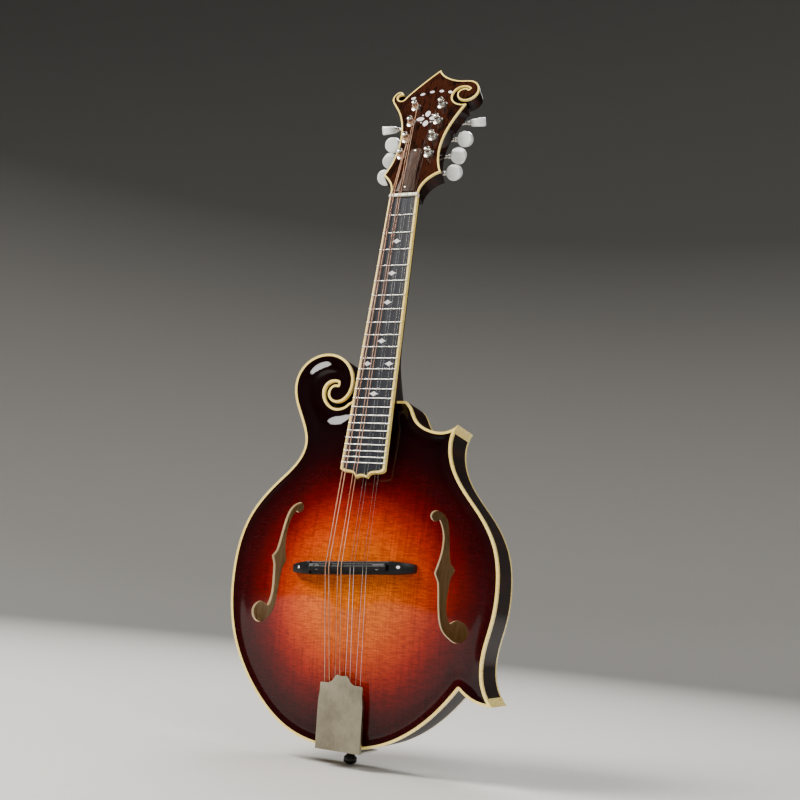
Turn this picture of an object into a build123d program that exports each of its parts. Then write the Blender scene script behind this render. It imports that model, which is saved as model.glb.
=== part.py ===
from build123d import *
import math
import os

import numpy as np

# ----------------------------------------------------------------------------
# An arch-topped mandolin with a body scroll, two body points and a scrolled
# headstock, standing upright.  Millimetres.  +Z runs up towards the headstock,
# the face looks along -Y and +X is the treble side.  The origin is the middle
# of the end pin's head, on the end pin's axis.
# ----------------------------------------------------------------------------

# driving dimensions
SCALE_LENGTH = 352.4          # nut to bridge, along the fingerboard
FRETS = 24
JOINT_FRET = 15               # the neck meets the body here
NUT_WIDTH = 28.6
BOARD_TAPER = 0.05016         # width gained per millimetre from the nut
BOARD_THICKNESS = 5.0
NECK_ANGLE = 5.5              # degrees, strings to rim plane
HEAD_ANGLE = 14.0             # degrees, headstock to fingerboard
BOARD_LIFT = 27.5             # fingerboard plane above the rim plane at the bridge
BODY_DEPTH = 45.0             # outside of the top's edge to outside of the back's edge
PLATE = 4.0                   # plate thickness
TOP_ARCH = 15.5
BACK_ARCH = 13.0
BOWL = 1.15                   # how soon the arch levels out, 1 / fraction of the radius
RIB = 2.2                     # rib thickness and binding width
TAIL = -154.5                 # tail edge, measured from the bridge
PIN_REACH = 10.0              # end pin head's middle, beyond the tail edge

# tuners
POST_SPACING = 23.0
POST_FIRST = 52.3             # lowest post, up the headstock from its start
POST_X = 14.2
HEAD_THICKNESS = 15.5
VENEER = 2.0
WORM_DROP = 7.7               # worm axis below the post axis
WORM_BACK = 4.3               # worm axis behind the headstock's back
BUTTON_X = [36.5, 36.5, 39.0, 48.5]
GEAR_TEETH = 15
FIT = 0.05                    # radial clearance of a shaft in its hole

# bridge
SADDLE_TOP = 31.0             # string height at the bridge, above the rim plane
SADDLE_HALF = 35.8
SADDLE_BASE = 24.6
BRIDGE_HALF = 57.0
SCREW_X = 28.0
BRIDGE_TURN = 4.1             # degrees; the bass end stands nearer the tail, to tune the courses
BRIDGE_BACK = -4.05           # middle of the bridge, beyond the scale length

# strings: diameter of each course and its place at nut, bridge and tailpiece
STRING_D = [1.00, 0.66, 0.38, 0.27]
NUT_COURSE = [-10.75, -3.6, 3.6, 10.75]
BRIDGE_COURSE = [-17.2, -5.7, 5.9, 17.5]
NUT_PAIR = 2.1
BRIDGE_PAIR = 3.2
TAIL_PAIR = 4.57
HOOK_AT = -122.0
HOOK_LIFT = 7.4

NECK_RISE = math.radians(NECK_ANGLE)
HEAD_RISE = math.radians(NECK_ANGLE + HEAD_ANGLE)
BRIDGE_Z = PIN_REACH - TAIL
NUT_ALONG = SCALE_LENGTH * math.cos(NECK_RISE)
NUT_OUT = BOARD_LIFT - SCALE_LENGTH * math.sin(NECK_RISE)
FACE_Y = -BODY_DEPTH / 2
RIB_TOP = -PLATE
RIB_BOTTOM = PLATE - BODY_DEPTH

# Three working planes: x across, y along towards the head, z out of the face.
BODY = Plane(origin=(0, FACE_Y, BRIDGE_Z), x_dir=(1, 0, 0), z_dir=(0, -1, 0))
NECK = Plane(
    origin=BODY.from_local_coords((0, NUT_ALONG, NUT_OUT)),
    x_dir=(1, 0, 0),
    z_dir=(0, -math.cos(NECK_RISE), math.sin(NECK_RISE)),
)
HEAD = Plane(
    origin=NECK.from_local_coords((0, 3.0, -0.5)),
    x_dir=(1, 0, 0),
    z_dir=(0, -math.cos(HEAD_RISE), math.sin(HEAD_RISE)),
)

nodes = {}


# ---- outlines --------------------------------------------------------------
def outline(runs):
    """A closed face from runs of points: two points are a line, more a smooth curve."""
    edges = [Line(*run) if len(run) == 2 else Spline(*run) for run in runs]
    return make_face(Curve() + edges)


def drawn_in(face, inset):
    """The face with its edge moved inwards, redrawn as plain curves."""
    edges = []
    for edge in offset(face, amount=-inset, kind=Kind.ARC).face().outer_wire().edges():
        steps = max(2, round(edge.length / 6))
        edges.append(Line(edge @ 0, edge @ 1) if edge.geom_type == GeomType.LINE or edge.length < 0.5
                     else Spline(*[edge @ (i / steps) for i in range(steps + 1)]))
    return make_face(Curve() + edges)


def slab(face, low, high):
    """The face's prism between two heights."""
    return Pos(0, 0, low) * extrude(face, amount=high - low)


def box(x0, x1, y0, y1, z0, z1):
    return Pos((x0 + x1) / 2, (y0 + y1) / 2, (z0 + z1) / 2) * Box(x1 - x0, y1 - y0, z1 - z0)


def rod(start, end, radius):
    """A round bar from one point to another."""
    start = Vector(*start)
    end = Vector(*end)
    plane = Plane(origin=start, z_dir=end - start)
    return plane * extrude(Circle(radius), amount=(end - start).length)


LEFT_AND_SCROLL = [
    (99, -94), (85, -112), (61, -134), (35, -148), (0, TAIL), (-51, -146), (-89, -117),
    (-118, -70), (-127, -14), (-118, 35), (-92, 71), (-72, 95), (-69, 106), (-72.5, 122),
    (-80, 138), (-86, 154), (-86, 170), (-77, 185), (-55, 193), (-40, 188.5), (-30.5, 178),
    (-27.3, 165), (-30.7, 153.3), (-39, 146.5), (-47.9, 147.8), (-51.9, 154.9), (-48.7, 161.9),
    (-42.5, 162.9),
]
SLOT = [
    (-42.5, 165.3), (-47.1, 165.9), (-52.5, 163.8), (-55.6, 156.8), (-52.5, 147.3),
    (-44, 141.2), (-36, 141.5), (-30, 145.5),
]
SHOULDER = 148.5
CUTAWAY = [(27, SHOULDER), (32.5, 142.5), (38, 132), (51, 123.2), (64, 121.3), (78, 128)]
RIGHT = [
    (78, 128), (73.3, 112), (76, 94), (86, 75), (106, 50), (121, 23), (126, -10), (124, -36),
    (118, -66), (118.8, -86), (128.7, -104.8),
]
LOWER_POINT = [(128.7, -104.8), (112, -102.3), (99, -94)]
BODY_FACE = outline([
    LEFT_AND_SCROLL,
    [LEFT_AND_SCROLL[-1], SLOT[0]],
    SLOT,
    [SLOT[-1], (-25, SHOULDER)],
    [(-25, SHOULDER), CUTAWAY[0]],
    CUTAWAY,
    RIGHT,
    LOWER_POINT,
])
INNER_FACE = drawn_in(BODY_FACE, RIB)

# The bowl is the body without its scroll and points; the arch and the linings follow it.
BOWL_EDGE = Spline(
    (0, TAIL), (-51, -146), (-89, -117), (-118, -70), (-127, -14), (-118, 35), (-92, 71),
    (-76, 100), (-48, 136), (0, 150), (48, 136), (77, 100), (93, 68), (120, 30), (126, -12),
    (119, -66), (91, -112), (51, -145),
    periodic=True,
)
BOWL_CENTRE = (0, -15)

TIPS = [(78, 128), (128.7, -104.8)]
CAP_REACH = 8.0
BLOCK_REACH = 26.0


# ---- the carved plates -----------------------------------------------------
def samples(edge, count):
    """Evenly spaced points on an edge, as two arrays."""
    points = edge.positions([i / count for i in range(count)])
    return np.array([p.X for p in points]), np.array([p.Y for p in points])


def arch_height(x, y, crown):
    """Heights of the carved surface above the rim plane: a bell over the bowl."""
    edge_x, edge_y = samples(BOWL_EDGE, 240)
    edge_x = edge_x - BOWL_CENTRE[0]
    edge_y = edge_y - BOWL_CENTRE[1]
    directions = np.arctan2(edge_y, edge_x)
    order = np.argsort(directions)
    across = x - BOWL_CENTRE[0]
    along = y - BOWL_CENTRE[1]
    radius = np.interp(
        np.arctan2(along, across), directions[order], np.hypot(edge_x, edge_y)[order], period=2 * math.pi
    )
    inside = np.clip(1 - np.hypot(across, along) / radius, 0, 1)
    return crown * np.sin(math.pi / 2 * np.minimum(inside * BOWL, 1)) ** 2


def carved_block(crown, shift=0.0, step=24.0):
    """Everything below the carved surface, as a block that reaches far behind it."""
    across, along = np.meshgrid(np.arange(-144, 169, step), np.arange(-170, 215, step), indexing="ij")
    height = arch_height(across, along, crown) + shift
    grid = [[Vector(*place) for place in zip(*row)] for row in zip(across, along, height)]
    surface = Face.make_surface_from_array_of_points(grid, tol=0.05, min_deg=3, max_deg=3)
    return extrude(surface, amount=80, dir=(0, 0, -1))


BOWL_FACE = make_face(BOWL_EDGE)


def shrunk_bowl(share):
    """The bowl's face, smaller about its own centre."""
    centre = Pos(*BOWL_CENTRE)
    return centre * scale(centre.inverse() * BOWL_FACE, by=share)


def carved_plate(crown):
    """A plate with its edge on the rim plane, hollowed to one thickness."""
    plate = slab(INNER_FACE, RIB_TOP, 30) & carved_block(crown)
    hollow = slab(shrunk_bowl(0.87), RIB_TOP - 10, 30) & carved_block(crown, -PLATE)
    return plate - hollow


def turned_over(shape):
    """The same shape on the back of the body."""
    return Pos(0, 0, -BODY_DEPTH) * mirror(shape, about=Plane.XY)


# ---- sound holes -----------------------------------------------------------
HOLE_SHIFT = 1.0              # both holes sit a little to the treble side
UPPER_EYE = (65.7, 47.0, 4.7)
LOWER_EYE = (93.4, -48.3, 9.2)
OUTER_EDGE = [(66.5, 51.6), (75, 46), (79, 34), (81.5, 16), (83.4, 7)]
OUTER_LOW = [(84.2, -6), (83, -20), (83.6, -34), (87, -43)]
INNER_LOW = [(86.6, -54.5), (80, -48), (76.5, -36), (74.9, -20), (73.6, -9)]
INNER_EDGE = [(72.6, 7), (74.6, 22), (73.4, 33), (69.3, 43)]


def sound_hole():
    """The treble sound hole: a notched stem between two round eyes."""
    stem = outline([
        OUTER_EDGE,
        [OUTER_EDGE[-1], (87.4, 2)],
        [(87.4, 2), OUTER_LOW[0]],
        OUTER_LOW,
        [OUTER_LOW[-1], INNER_LOW[0]],
        INNER_LOW,
        [INNER_LOW[-1], (70.4, -2)],
        [(70.4, -2), INNER_EDGE[0]],
        INNER_EDGE,
        [INNER_EDGE[-1], OUTER_EDGE[0]],
    ])
    hole = slab(stem, -12, 25)
    for x, y, radius in (UPPER_EYE, LOWER_EYE):
        hole = hole + Pos(x, y, 6.5) * Cylinder(radius, 37)
    return hole


def build_body():
    """Plates, ribs, blocks, linings, bars, bindings and caps."""
    hole = sound_hole()
    top = carved_plate(TOP_ARCH)
    for side in (hole, mirror(hole, about=Plane.YZ)):
        top = top - Pos(HOLE_SHIFT, 0, 0) * side
    nodes["top_plate"] = BODY * top
    nodes["back_plate"] = BODY * turned_over(carved_plate(BACK_ARCH))
    rim = slab(BODY_FACE, RIB_BOTTOM, RIB_TOP)
    inside = slab(INNER_FACE, RIB_BOTTOM, RIB_TOP)
    caps = [Pos(x, y, -BODY_DEPTH / 2) * Cylinder(CAP_REACH, BODY_DEPTH) for x, y in TIPS]
    reach = [Pos(x, y, -BODY_DEPTH / 2) * Cylinder(BLOCK_REACH, BODY_DEPTH) for x, y in TIPS]
    ribs = rim - inside
    for cap in caps:
        ribs = ribs - cap
    pin_hole = rod((0, TAIL - 5, -BODY_DEPTH / 2), (0, TAIL + 18, -BODY_DEPTH / 2), PIN_SHANK)
    nodes["ribs"] = BODY * (ribs - pin_hole - TENON)
    nodes["point_caps"] = BODY * Compound([s for cap in caps for s in (rim & cap).solids()])
    point_blocks = [(inside & near) - cap for near, cap in zip(reach, caps)]
    nodes["point_blocks"] = BODY * Compound([s for block in point_blocks for s in block.solids()])
    head_region = box(-95, 34, 120, 200, RIB_BOTTOM, RIB_TOP)
    nodes["head_block"] = BODY * ((inside & head_region) - TENON)
    tail_region = box(-24, 24, TAIL, TAIL + 18, RIB_BOTTOM, RIB_TOP)
    nodes["tail_block"] = BODY * ((inside & tail_region) - pin_hole)
    lining = slab(INNER_FACE, RIB_TOP - 7, RIB_TOP) - slab(shrunk_bowl(0.94), -30, 5)
    lining = lining & box(-130, 130, TAIL, 88, -30, 0)
    lining = lining - tail_region
    for near in reach:
        lining = lining - near
    nodes["rim_linings"] = BODY * Compound(lining.solids() + turned_over(lining).solids())
    under = carved_block(TOP_ARCH, -PLATE)
    bars = []
    for x, lean in ((-24, 3.0), (26, -3.0)):
        bar = Pos(x, -8, 0) * Rot(0, 0, lean) * Box(6, 196, 60)
        bars += ((bar & under) - Pos(0, 0, -9) * under).solids()
    nodes["tone_bars"] = BODY * Compound(bars)
    binding = slab(BODY_FACE, RIB_TOP, 0) - slab(INNER_FACE, RIB_TOP, 0)
    nodes["top_binding"] = BODY * binding
    nodes["back_binding"] = BODY * turned_over(binding)


# ---- neck and fingerboard --------------------------------------------------
def board_half(distance):
    """Half the board's width at a distance from the nut."""
    return (NUT_WIDTH + BOARD_TAPER * distance) / 2


def fret_distance(number):
    """Distance of a fret from the nut."""
    return SCALE_LENGTH * (1 - 2 ** (-number / 12))


BOARD_END = fret_distance(FRETS) + 5.8
BOARD_BINDING = 1.8


def board_face(inset):
    """The board's outline with its scalloped end, drawn in by the binding's width."""
    wide = board_half(BOARD_END) - inset
    narrow = board_half(0) - inset
    end = -BOARD_END + inset
    right = [(wide, end), (14, end - 2.6), (8.5, end - 3.4), (5.5, end - 7.4)]
    left = [(-x, y) for x, y in reversed(right)]
    return outline([
        [(narrow, 0), (wide, end)],
        right,
        [right[-1], (0, end - 6.0), left[0]],
        left,
        [(-wide, end), (-narrow, 0)],
        [(-narrow, 0), (narrow, 0)],
    ])


TENON = box(-9, 9, 130, SHOULDER + 2, -36, RIB_TOP)
HEEL_START = 152.0            # distance from the nut
HEEL_LENGTH = 60.0
HEEL_DEPTH = 41.0
SECTION_STEP = 14


def neck_sizes(distance):
    """Half width and depth below the board of the neck's carving, at a distance from the nut."""
    share = min(1, max(0, (distance - HEEL_START) / HEEL_LENGTH))
    heel = HEEL_DEPTH * share ** 2 * (3 - 2 * share)
    if distance < 0:
        return 12.5, 12.0
    return min(19.0, 13.9 + 0.026 * distance), 13.5 + 0.014 * distance + heel


def neck_section(along, half, depth):
    """One half-oval slice of the neck, flat under the board."""
    angles = [math.radians(a) for a in range(0, 181, 30)]
    curve = Spline(*[(half * math.cos(a), -BOARD_THICKNESS - depth * math.sin(a)) for a in angles])
    face = make_face(Curve() + [curve, Line(curve @ 1, curve @ 0)])
    return Plane(origin=(0, along, 0), x_dir=(1, 0, 0), z_dir=(0, -1, 0)) * face


TRUSS_DROP = -10.0            # truss rod axis below the board's surface
TRUSS_R = 2.5
TRUSS_NUT_R = 3.9
FRET_HALF = 0.6               # half the width of a fret's crown
FRET_HEIGHT = 0.95
FRET_INSET = 0.3              # fret end to the board's edge


def build_neck():
    """Neck with heel, riser and headstock, the board and what is let into it."""
    body_envelope = BODY * (slab(BODY_FACE, -BODY_DEPTH - 20, 30) & carved_block(TOP_ARCH))
    below_back = BODY * box(-40, 40, 100, 200, -BODY_DEPTH - 60, -BODY_DEPTH)
    stations = range(-SECTION_STEP, 15 * SECTION_STEP + 1, SECTION_STEP)
    shaft = NECK * loft([neck_section(-distance, *neck_sizes(distance)) for distance in stations])
    riser_half = board_half(fret_distance(JOINT_FRET)) - 2.5
    riser = NECK * box(-riser_half, riser_half, -BOARD_END + 2, -200, -22, -BOARD_THICKNESS)
    blade = HEAD * slab(HEAD_FACE, -HEAD_THICKNESS, -VENEER)
    neck = shaft + riser - body_envelope - below_back
    neck = neck + BODY * TENON + blade
    truss_hole = NECK * rod((0, -200, TRUSS_DROP), (0, 22, TRUSS_DROP), TRUSS_R + FIT)
    pocket = HEAD * TRUSS_POCKET
    above_board = NECK * box(-60, 60, -300, 0.05, -BOARD_THICKNESS, 20)
    above_nut = NECK * box(-60, 60, -1, NUT_THICKNESS, -BOARD_THICKNESS, 20)
    neck = neck - truss_hole - pocket - above_board - above_nut
    for x, along in POSTS:
        neck = neck - HEAD * (Pos(x, along, -8) * Cylinder(BUSHING_R, 30))
    nodes["neck"] = neck
    whole = slab(board_face(0), -BOARD_THICKNESS, 0)
    core = slab(board_face(BOARD_BINDING), -BOARD_THICKNESS, 0)
    markers = fret_markers()
    board = core
    for marker in markers:
        board = board - marker
    nodes["fingerboard"] = NECK * board
    nodes["fingerboard_binding"] = NECK * (whole - core)
    nodes["fret_markers"] = NECK * Compound(markers)
    frets = []
    for number in range(1, FRETS + 1):
        distance = fret_distance(number)
        half = board_half(distance) - FRET_INSET
        crown = Plane.YZ * make_face(Curve() + [
            ThreePointArc((-FRET_HALF, 0), (0, FRET_HEIGHT), (FRET_HALF, 0)),
            Line((FRET_HALF, 0), (-FRET_HALF, 0)),
        ])
        frets += (Pos(-half, -distance, 0) * extrude(crown, amount=2 * half)).solids()
    nodes["frets"] = NECK * Compound(frets)
    nodes["truss_rod"] = NECK * rod((0, -198, TRUSS_DROP), (0, 13.5, TRUSS_DROP), TRUSS_R)
    barrel = rod((0, 6, TRUSS_DROP), (0, 13, TRUSS_DROP), TRUSS_NUT_R)
    barrel = barrel - rod((0, 5, TRUSS_DROP), (0, 14, TRUSS_DROP), TRUSS_R + FIT)
    nodes["truss_rod_nut"] = NECK * barrel


MARKER_PAIR = 10.7            # half the distance between the two octave markers
MARKER_DEPTH = 0.6


def fret_markers():
    """Pearl diamonds with hollow sides, level with the board."""
    places = [(number, 0) for number in (3, 5, 7, 10, 15)] + [(12, -MARKER_PAIR), (12, MARKER_PAIR)]
    solids = []
    for number, x in places:
        middle = -(fret_distance(number) + fret_distance(number - 1)) / 2
        tips = [(4.6, 0), (0, 2.5), (-4.6, 0), (0, -2.5)]
        hollows = [(2.0, 1.1), (-2.0, 1.1), (-2.0, -1.1), (2.0, -1.1)]
        edges = [ThreePointArc(tips[i], hollows[i], tips[(i + 1) % 4]) for i in range(4)]
        solids += (Pos(x, middle, 0) * slab(make_face(Curve() + edges), -MARKER_DEPTH, 0)).solids()
    return solids


# ---- headstock -------------------------------------------------------------
HEAD_FACE = outline([
    [(-14.6, 0), (-15.8, 10), (-20, 18.5), (-28, 27.5)],
    [(-28, 27.5), (-23, 43), (-21, 62), (-23, 88), (-29, 109), (-40, 129), (-44, 140), (-39, 147.8),
     (-32.5, 143)],
    [(-32.5, 143), (-38.6, 140.9), (-35.6, 134.8), (-29, 138.8)],
    [(-29, 138.8), (-10.6, 162.5), (1.4, 175.9)],
    [(1.4, 175.9), (13.3, 161.9), (28.5, 155.8), (41.2, 153.4), (49.6, 141), (46.4, 129.4),
     (36, 125.5), (28.1, 132), (28.8, 141.5), (33, 143.4), (38.5, 141)],
    [(38.5, 141), (39.8, 142.4)],
    [(39.8, 142.4), (35.5, 145.6), (28.5, 146), (22.6, 138), (24.5, 127), (31.5, 121), (39.5, 120.5)],
    [(39.5, 120.5), (30.6, 98.5), (25, 75), (24.3, 58), (27, 40), (31.7, 27)],
    [(31.7, 27), (21.6, 20.3), (15.5, 10), (14.6, 0)],
    [(14.6, 0), (-14.6, 0)],
])
HEAD_BINDING = 1.5
VENEER_FACE = drawn_in(HEAD_FACE, HEAD_BINDING)
NUT_THICKNESS = 4.0
TRUSS_POCKET = box(-4.6, 4.6, 2.5, 20, -13.5, 1)
POSTS = [(side * POST_X, POST_FIRST + POST_SPACING * row) for side in (-1, 1) for row in range(4)]
BUSHING_R = 4.6
POST_R = 3.0
COVER_HALF = 6.4
COVER_FOOT_HALF = 9.8         # it widens towards the nut
COVER_TOP = 60.5
COVER_THICK = 1.2
INLAY_DEPTH = 0.6
INLAY_MIDDLE = (1.0, 103.5)
LEAF_ARC = 42.0               # radius of the arc of leaves
LEAF_STEP = 14                # degrees between leaves


def ornament():
    """Pearl petals round a diamond, let into the veneer."""
    petal = make_face(Curve() + [
        ThreePointArc((0, 2.6), (2.7, 6.2), (0, 11.2)), ThreePointArc((0, 11.2), (-2.7, 6.2), (0, 2.6)),
    ])
    solids = []
    for turn in range(0, 360, 90):
        solids += (Rot(0, 0, turn) * slab(petal, -INLAY_DEPTH, 0)).solids()
        dot = Pos(0, 7.2, -INLAY_DEPTH / 2) * Cylinder(0.9, INLAY_DEPTH)
        solids += (Rot(0, 0, turn + 45) * dot).solids()
    placed = [Pos(*INLAY_MIDDLE, 0) * solid for solid in solids]
    for step in range(-2, 3):
        leaf = Rot(0, 0, -LEAF_STEP * step) * Pos(0, LEAF_ARC, 0) * Rot(0, 0, 90) * scale(petal, by=0.62)
        placed += (Pos(3, 101, 0) * slab(leaf, -INLAY_DEPTH, 0)).solids()
    return placed


def build_headstock():
    """Face veneer, its binding, inlay, truss rod cover and the nut."""
    past_nut = HEAD * box(-60, 60, -20, 400, -60, 60) - NECK * box(-60, 60, -60, NUT_THICKNESS, -60, 60)
    veneer = slab(VENEER_FACE, -VENEER, 0) - TRUSS_POCKET
    rim = slab(HEAD_FACE, -VENEER, 0) - slab(VENEER_FACE, -VENEER, 0)
    inlay = ornament()
    for x, along in POSTS:
        veneer = veneer - Pos(x, along, 0) * Cylinder(BUSHING_R, 10)
    for piece in inlay:
        veneer = veneer - piece
    nodes["headstock_veneer"] = (HEAD * veneer) & past_nut
    nodes["headstock_binding"] = (HEAD * rim) & past_nut
    nodes["headstock_inlay"] = HEAD * Compound(inlay)
    right = [(COVER_FOOT_HALF, 3), (COVER_HALF + 1.0, 22), (COVER_HALF, COVER_TOP - 3)]
    left = [(-x, y) for x, y in reversed(right)]
    cover = slab(outline([right, [right[-1], left[0]], left, [left[-1], right[0]]]), 0, COVER_THICK)
    tongue = scale(Cylinder(COVER_HALF, COVER_THICK), by=(1, 0.47, 1))
    cover = cover + Pos(0, COVER_TOP - 3, COVER_THICK / 2) * tongue
    nodes["truss_rod_cover"] = HEAD * cover
    nut = box(-NUT_WIDTH / 2, NUT_WIDTH / 2, 0.1, NUT_THICKNESS, -BOARD_THICKNESS, 1.9)
    nut = NECK * nut
    for string in strings():
        nut = nut - string
    nodes["nut"] = nut


# ---- tuners ----------------------------------------------------------------
SHAFT_R = 1.5
WORM_R = 2.2
BUTTON_R = 7.8
COLLAR_R = 2.3
GEAR_R = 5.4
TOOTH_R = 0.5
POST_WAIST = 2.5              # under the string's winding
POST_CAP = 3.1
POST_TOP = 8.8
FLANGE_R = 5.3
SMALL_HEAD_R = 2.1
BACK_PLATE_THICK = 1.2
GEAR_OUT = -HEAD_THICKNESS - WORM_BACK
BUTTON_TURN = [49, 73, 43, 139]   # degrees from the headstock's face, as left by tuning


def tuner_button(side, reach, turn):
    """A round, flat knob that thickens outwards, with its collar, on the shaft's end."""
    wedge = Plane.XZ * make_face(Polyline((-7.8, 3.3), (7.6, 4.6), (7.6, -4.6), (-7.8, -3.3), close=True))
    disc = extrude(wedge, amount=9, both=True) & Cylinder(BUTTON_R, 12)
    collar = rod((-11.0, 0, 0), (-6.5, 0, 0), COLLAR_R)
    knob = disc + collar - rod((-12, 0, 0), (2, 0, 0), SHAFT_R)
    knob = Pos(reach, 0, 0) * Rot(turn, 0, 0) * knob
    return knob if side > 0 else mirror(knob, about=Plane.YZ)


def build_tuners():
    """Posts with gears, worm shafts, buttons, plates and bushings."""
    plates = []
    bushings = []
    for side, name in ((-1, "bass"), (1, "treble")):
        plate = box(7.6, 20.8, POST_FIRST - 13, POST_FIRST + 3 * POST_SPACING + 7.5,
                    -HEAD_THICKNESS - BACK_PLATE_THICK, -HEAD_THICKNESS)
        for row in range(4):
            along = POST_FIRST + POST_SPACING * row
            worm = along - WORM_DROP
            for x in (9.1, 19.4):
                plate = plate + box(x - 0.6, x + 0.6, worm - 2.7, worm + 2.7, GEAR_OUT - 2.6,
                                    -HEAD_THICKNESS - BACK_PLATE_THICK)
        for row in range(4):
            along = POST_FIRST + POST_SPACING * row
            worm = along - WORM_DROP
            plate = plate - rod((0, worm, GEAR_OUT), (30, worm, GEAR_OUT), SHAFT_R + FIT)
            plate = plate - Pos(POST_X, along, -HEAD_THICKNESS) * Cylinder(POST_R + 0.3, 6)
        plates += (plate if side > 0 else mirror(plate, about=Plane.YZ)).solids()
        for row in range(4):
            along = POST_FIRST + POST_SPACING * row
            worm = along - WORM_DROP
            label = f"{name}_{row + 1}"
            stem = rod((0, 0, GEAR_OUT + 1.3), (0, 0, 2.4), POST_R)
            waist = rod((0, 0, 2.4), (0, 0, 6.4), POST_WAIST)
            cap = rod((0, 0, 6.4), (0, 0, POST_TOP), POST_CAP)
            post = stem + waist + cap
            post = chamfer(post.faces().sort_by(Axis.Z)[-1].edges(), 0.8)
            gear = Pos(0, 0, GEAR_OUT) * Cylinder(GEAR_R, 2.6)
            for tooth in range(GEAR_TEETH):
                angle = 360 / GEAR_TEETH * tooth
                gear = gear - Rot(0, 0, angle) * Pos(GEAR_R + 0.1, 0, GEAR_OUT) * Cylinder(TOOTH_R, 4)
            screw = rod((0, 0, GEAR_OUT - 2.2), (0, 0, GEAR_OUT - 1.3), SMALL_HEAD_R)
            place = HEAD * Pos(side * POST_X, along, 0)
            nodes[f"post_{label}"] = place * Compound(post.solids() + gear.solids() + screw.solids())
            reach = BUTTON_X[row]
            shaft = rod((8.0, 0, 0), (reach + 2, 0, 0), SHAFT_R) + rod((10.2, 0, 0), (18.3, 0, 0), WORM_R)
            shaft = shaft if side > 0 else mirror(shaft, about=Plane.YZ)
            axis = HEAD * Pos(0, worm, GEAR_OUT)
            nodes[f"worm_{label}"] = axis * shaft
            nodes[f"button_{label}"] = axis * tuner_button(side, reach, BUTTON_TURN[row])
            bushing = rod((0, 0, -HEAD_THICKNESS), (0, 0, 0), BUSHING_R)
            bushing = bushing + rod((0, 0, 0), (0, 0, 1.7), FLANGE_R)
            bushing = chamfer(bushing.faces().sort_by(Axis.Z)[-1].edges(), 1.0)
            bushing = bushing - rod((0, 0, -20), (0, 0, 5), POST_R + FIT)
            bushings += (Pos(side * POST_X, along, 0) * bushing).solids()
    nodes["tuner_plates"] = HEAD * Compound(plates)
    nodes["tuner_bushings"] = HEAD * Compound(bushings)


# ---- bridge ----------------------------------------------------------------
SCREW_R = 1.75
SCREW_HEAD_R = 2.5
BASE_TOP = 23.8
WING_START = 36.6             # the wings rise beyond the saddle's ends
BRIDGE_PLACE = Pos(0, BRIDGE_BACK, 0) * Rot(0, 0, BRIDGE_TURN)


def build_bridge():
    """Base fitted to the arch, the saddle that lifts off it, and its two screws."""
    side = [
        (0, 5), (BRIDGE_HALF, 5), (BRIDGE_HALF, 17.5), (48, 23.2),
        (WING_START, 26.2), (WING_START, BASE_TOP), (0, BASE_TOP),
    ]
    profile = make_face(Polyline(*(side + [(-x, z) for x, z in reversed(side[1:-1])]), close=True))
    blank = extrude(Plane.XZ * profile, amount=7, both=True)
    corners = [(BRIDGE_HALF, 3.4), (40, 5.6), (-40, 5.6), (-BRIDGE_HALF, 3.4)]
    plan = make_face(Polyline(*(corners + [(-x, -y) for x, y in corners]), close=True))
    base = (BRIDGE_PLACE * (blank & slab(plan, 0, 40))) - carved_block(TOP_ARCH)
    roof = Polyline(
        (-3.2, SADDLE_BASE), (-3.2, 29.6), (-0.15, SADDLE_TOP - 0.05), (0.15, SADDLE_TOP - 0.05),
        (3.2, 29.9), (3.2, SADDLE_BASE), close=True,
    )
    saddle = extrude(Plane.YZ * make_face(roof), amount=SADDLE_HALF, both=True)
    for x, name in ((-SCREW_X, "bass"), (SCREW_X, "treble")):
        base = base - BRIDGE_PLACE * rod((x, 0, 16.6), (x, 0, 40), SCREW_R + FIT)
        saddle = saddle - rod((x, 0, 0), (x, 0, 40), SCREW_R + FIT)
        saddle = saddle - rod((x, 0, 28.6), (x, 0, 40), SCREW_HEAD_R + 0.1)
        screw = rod((x, 0, 17.8), (x, 0, 28.65), SCREW_R) + rod((x, 0, 28.65), (x, 0, 30.2), SCREW_HEAD_R)
        screw = screw - box(x - 2, x + 2, -0.3, 0.3, 29.6, 31)
        nodes[f"height_screw_{name}"] = BODY * BRIDGE_PLACE * screw
    nodes["bridge_base"] = BODY * base
    nodes["bridge_saddle"] = BODY * BRIDGE_PLACE * saddle


# ---- tailpiece and end pin -------------------------------------------------
PIN_SHANK = 3.0
PIN_HEAD = 5.75
PIN_LAND = 4.0
PIN_NECK = 3.8
TAIL_HALF = 19.5
SHEET = 1.0                   # thickness of the folded base
COVER_SHEET = 0.9
COVER_FRONT = -101.0
COVER_SIDE = 3.6              # depth of the cover's folded sides
COVER_RISE = 0.1115
COVER_LOW = 7.5               # inside of the cover at the tail edge


def cover_plane(along):
    """Height of the inside of the cover."""
    return COVER_LOW + COVER_RISE * (along - TAIL)


def sheet_profile(points, half):
    """A solid from a side profile of (along, out) points, centred across the body."""
    return extrude(Plane.YZ * make_face(Polyline(*points, close=True)), amount=half, both=True)


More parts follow.
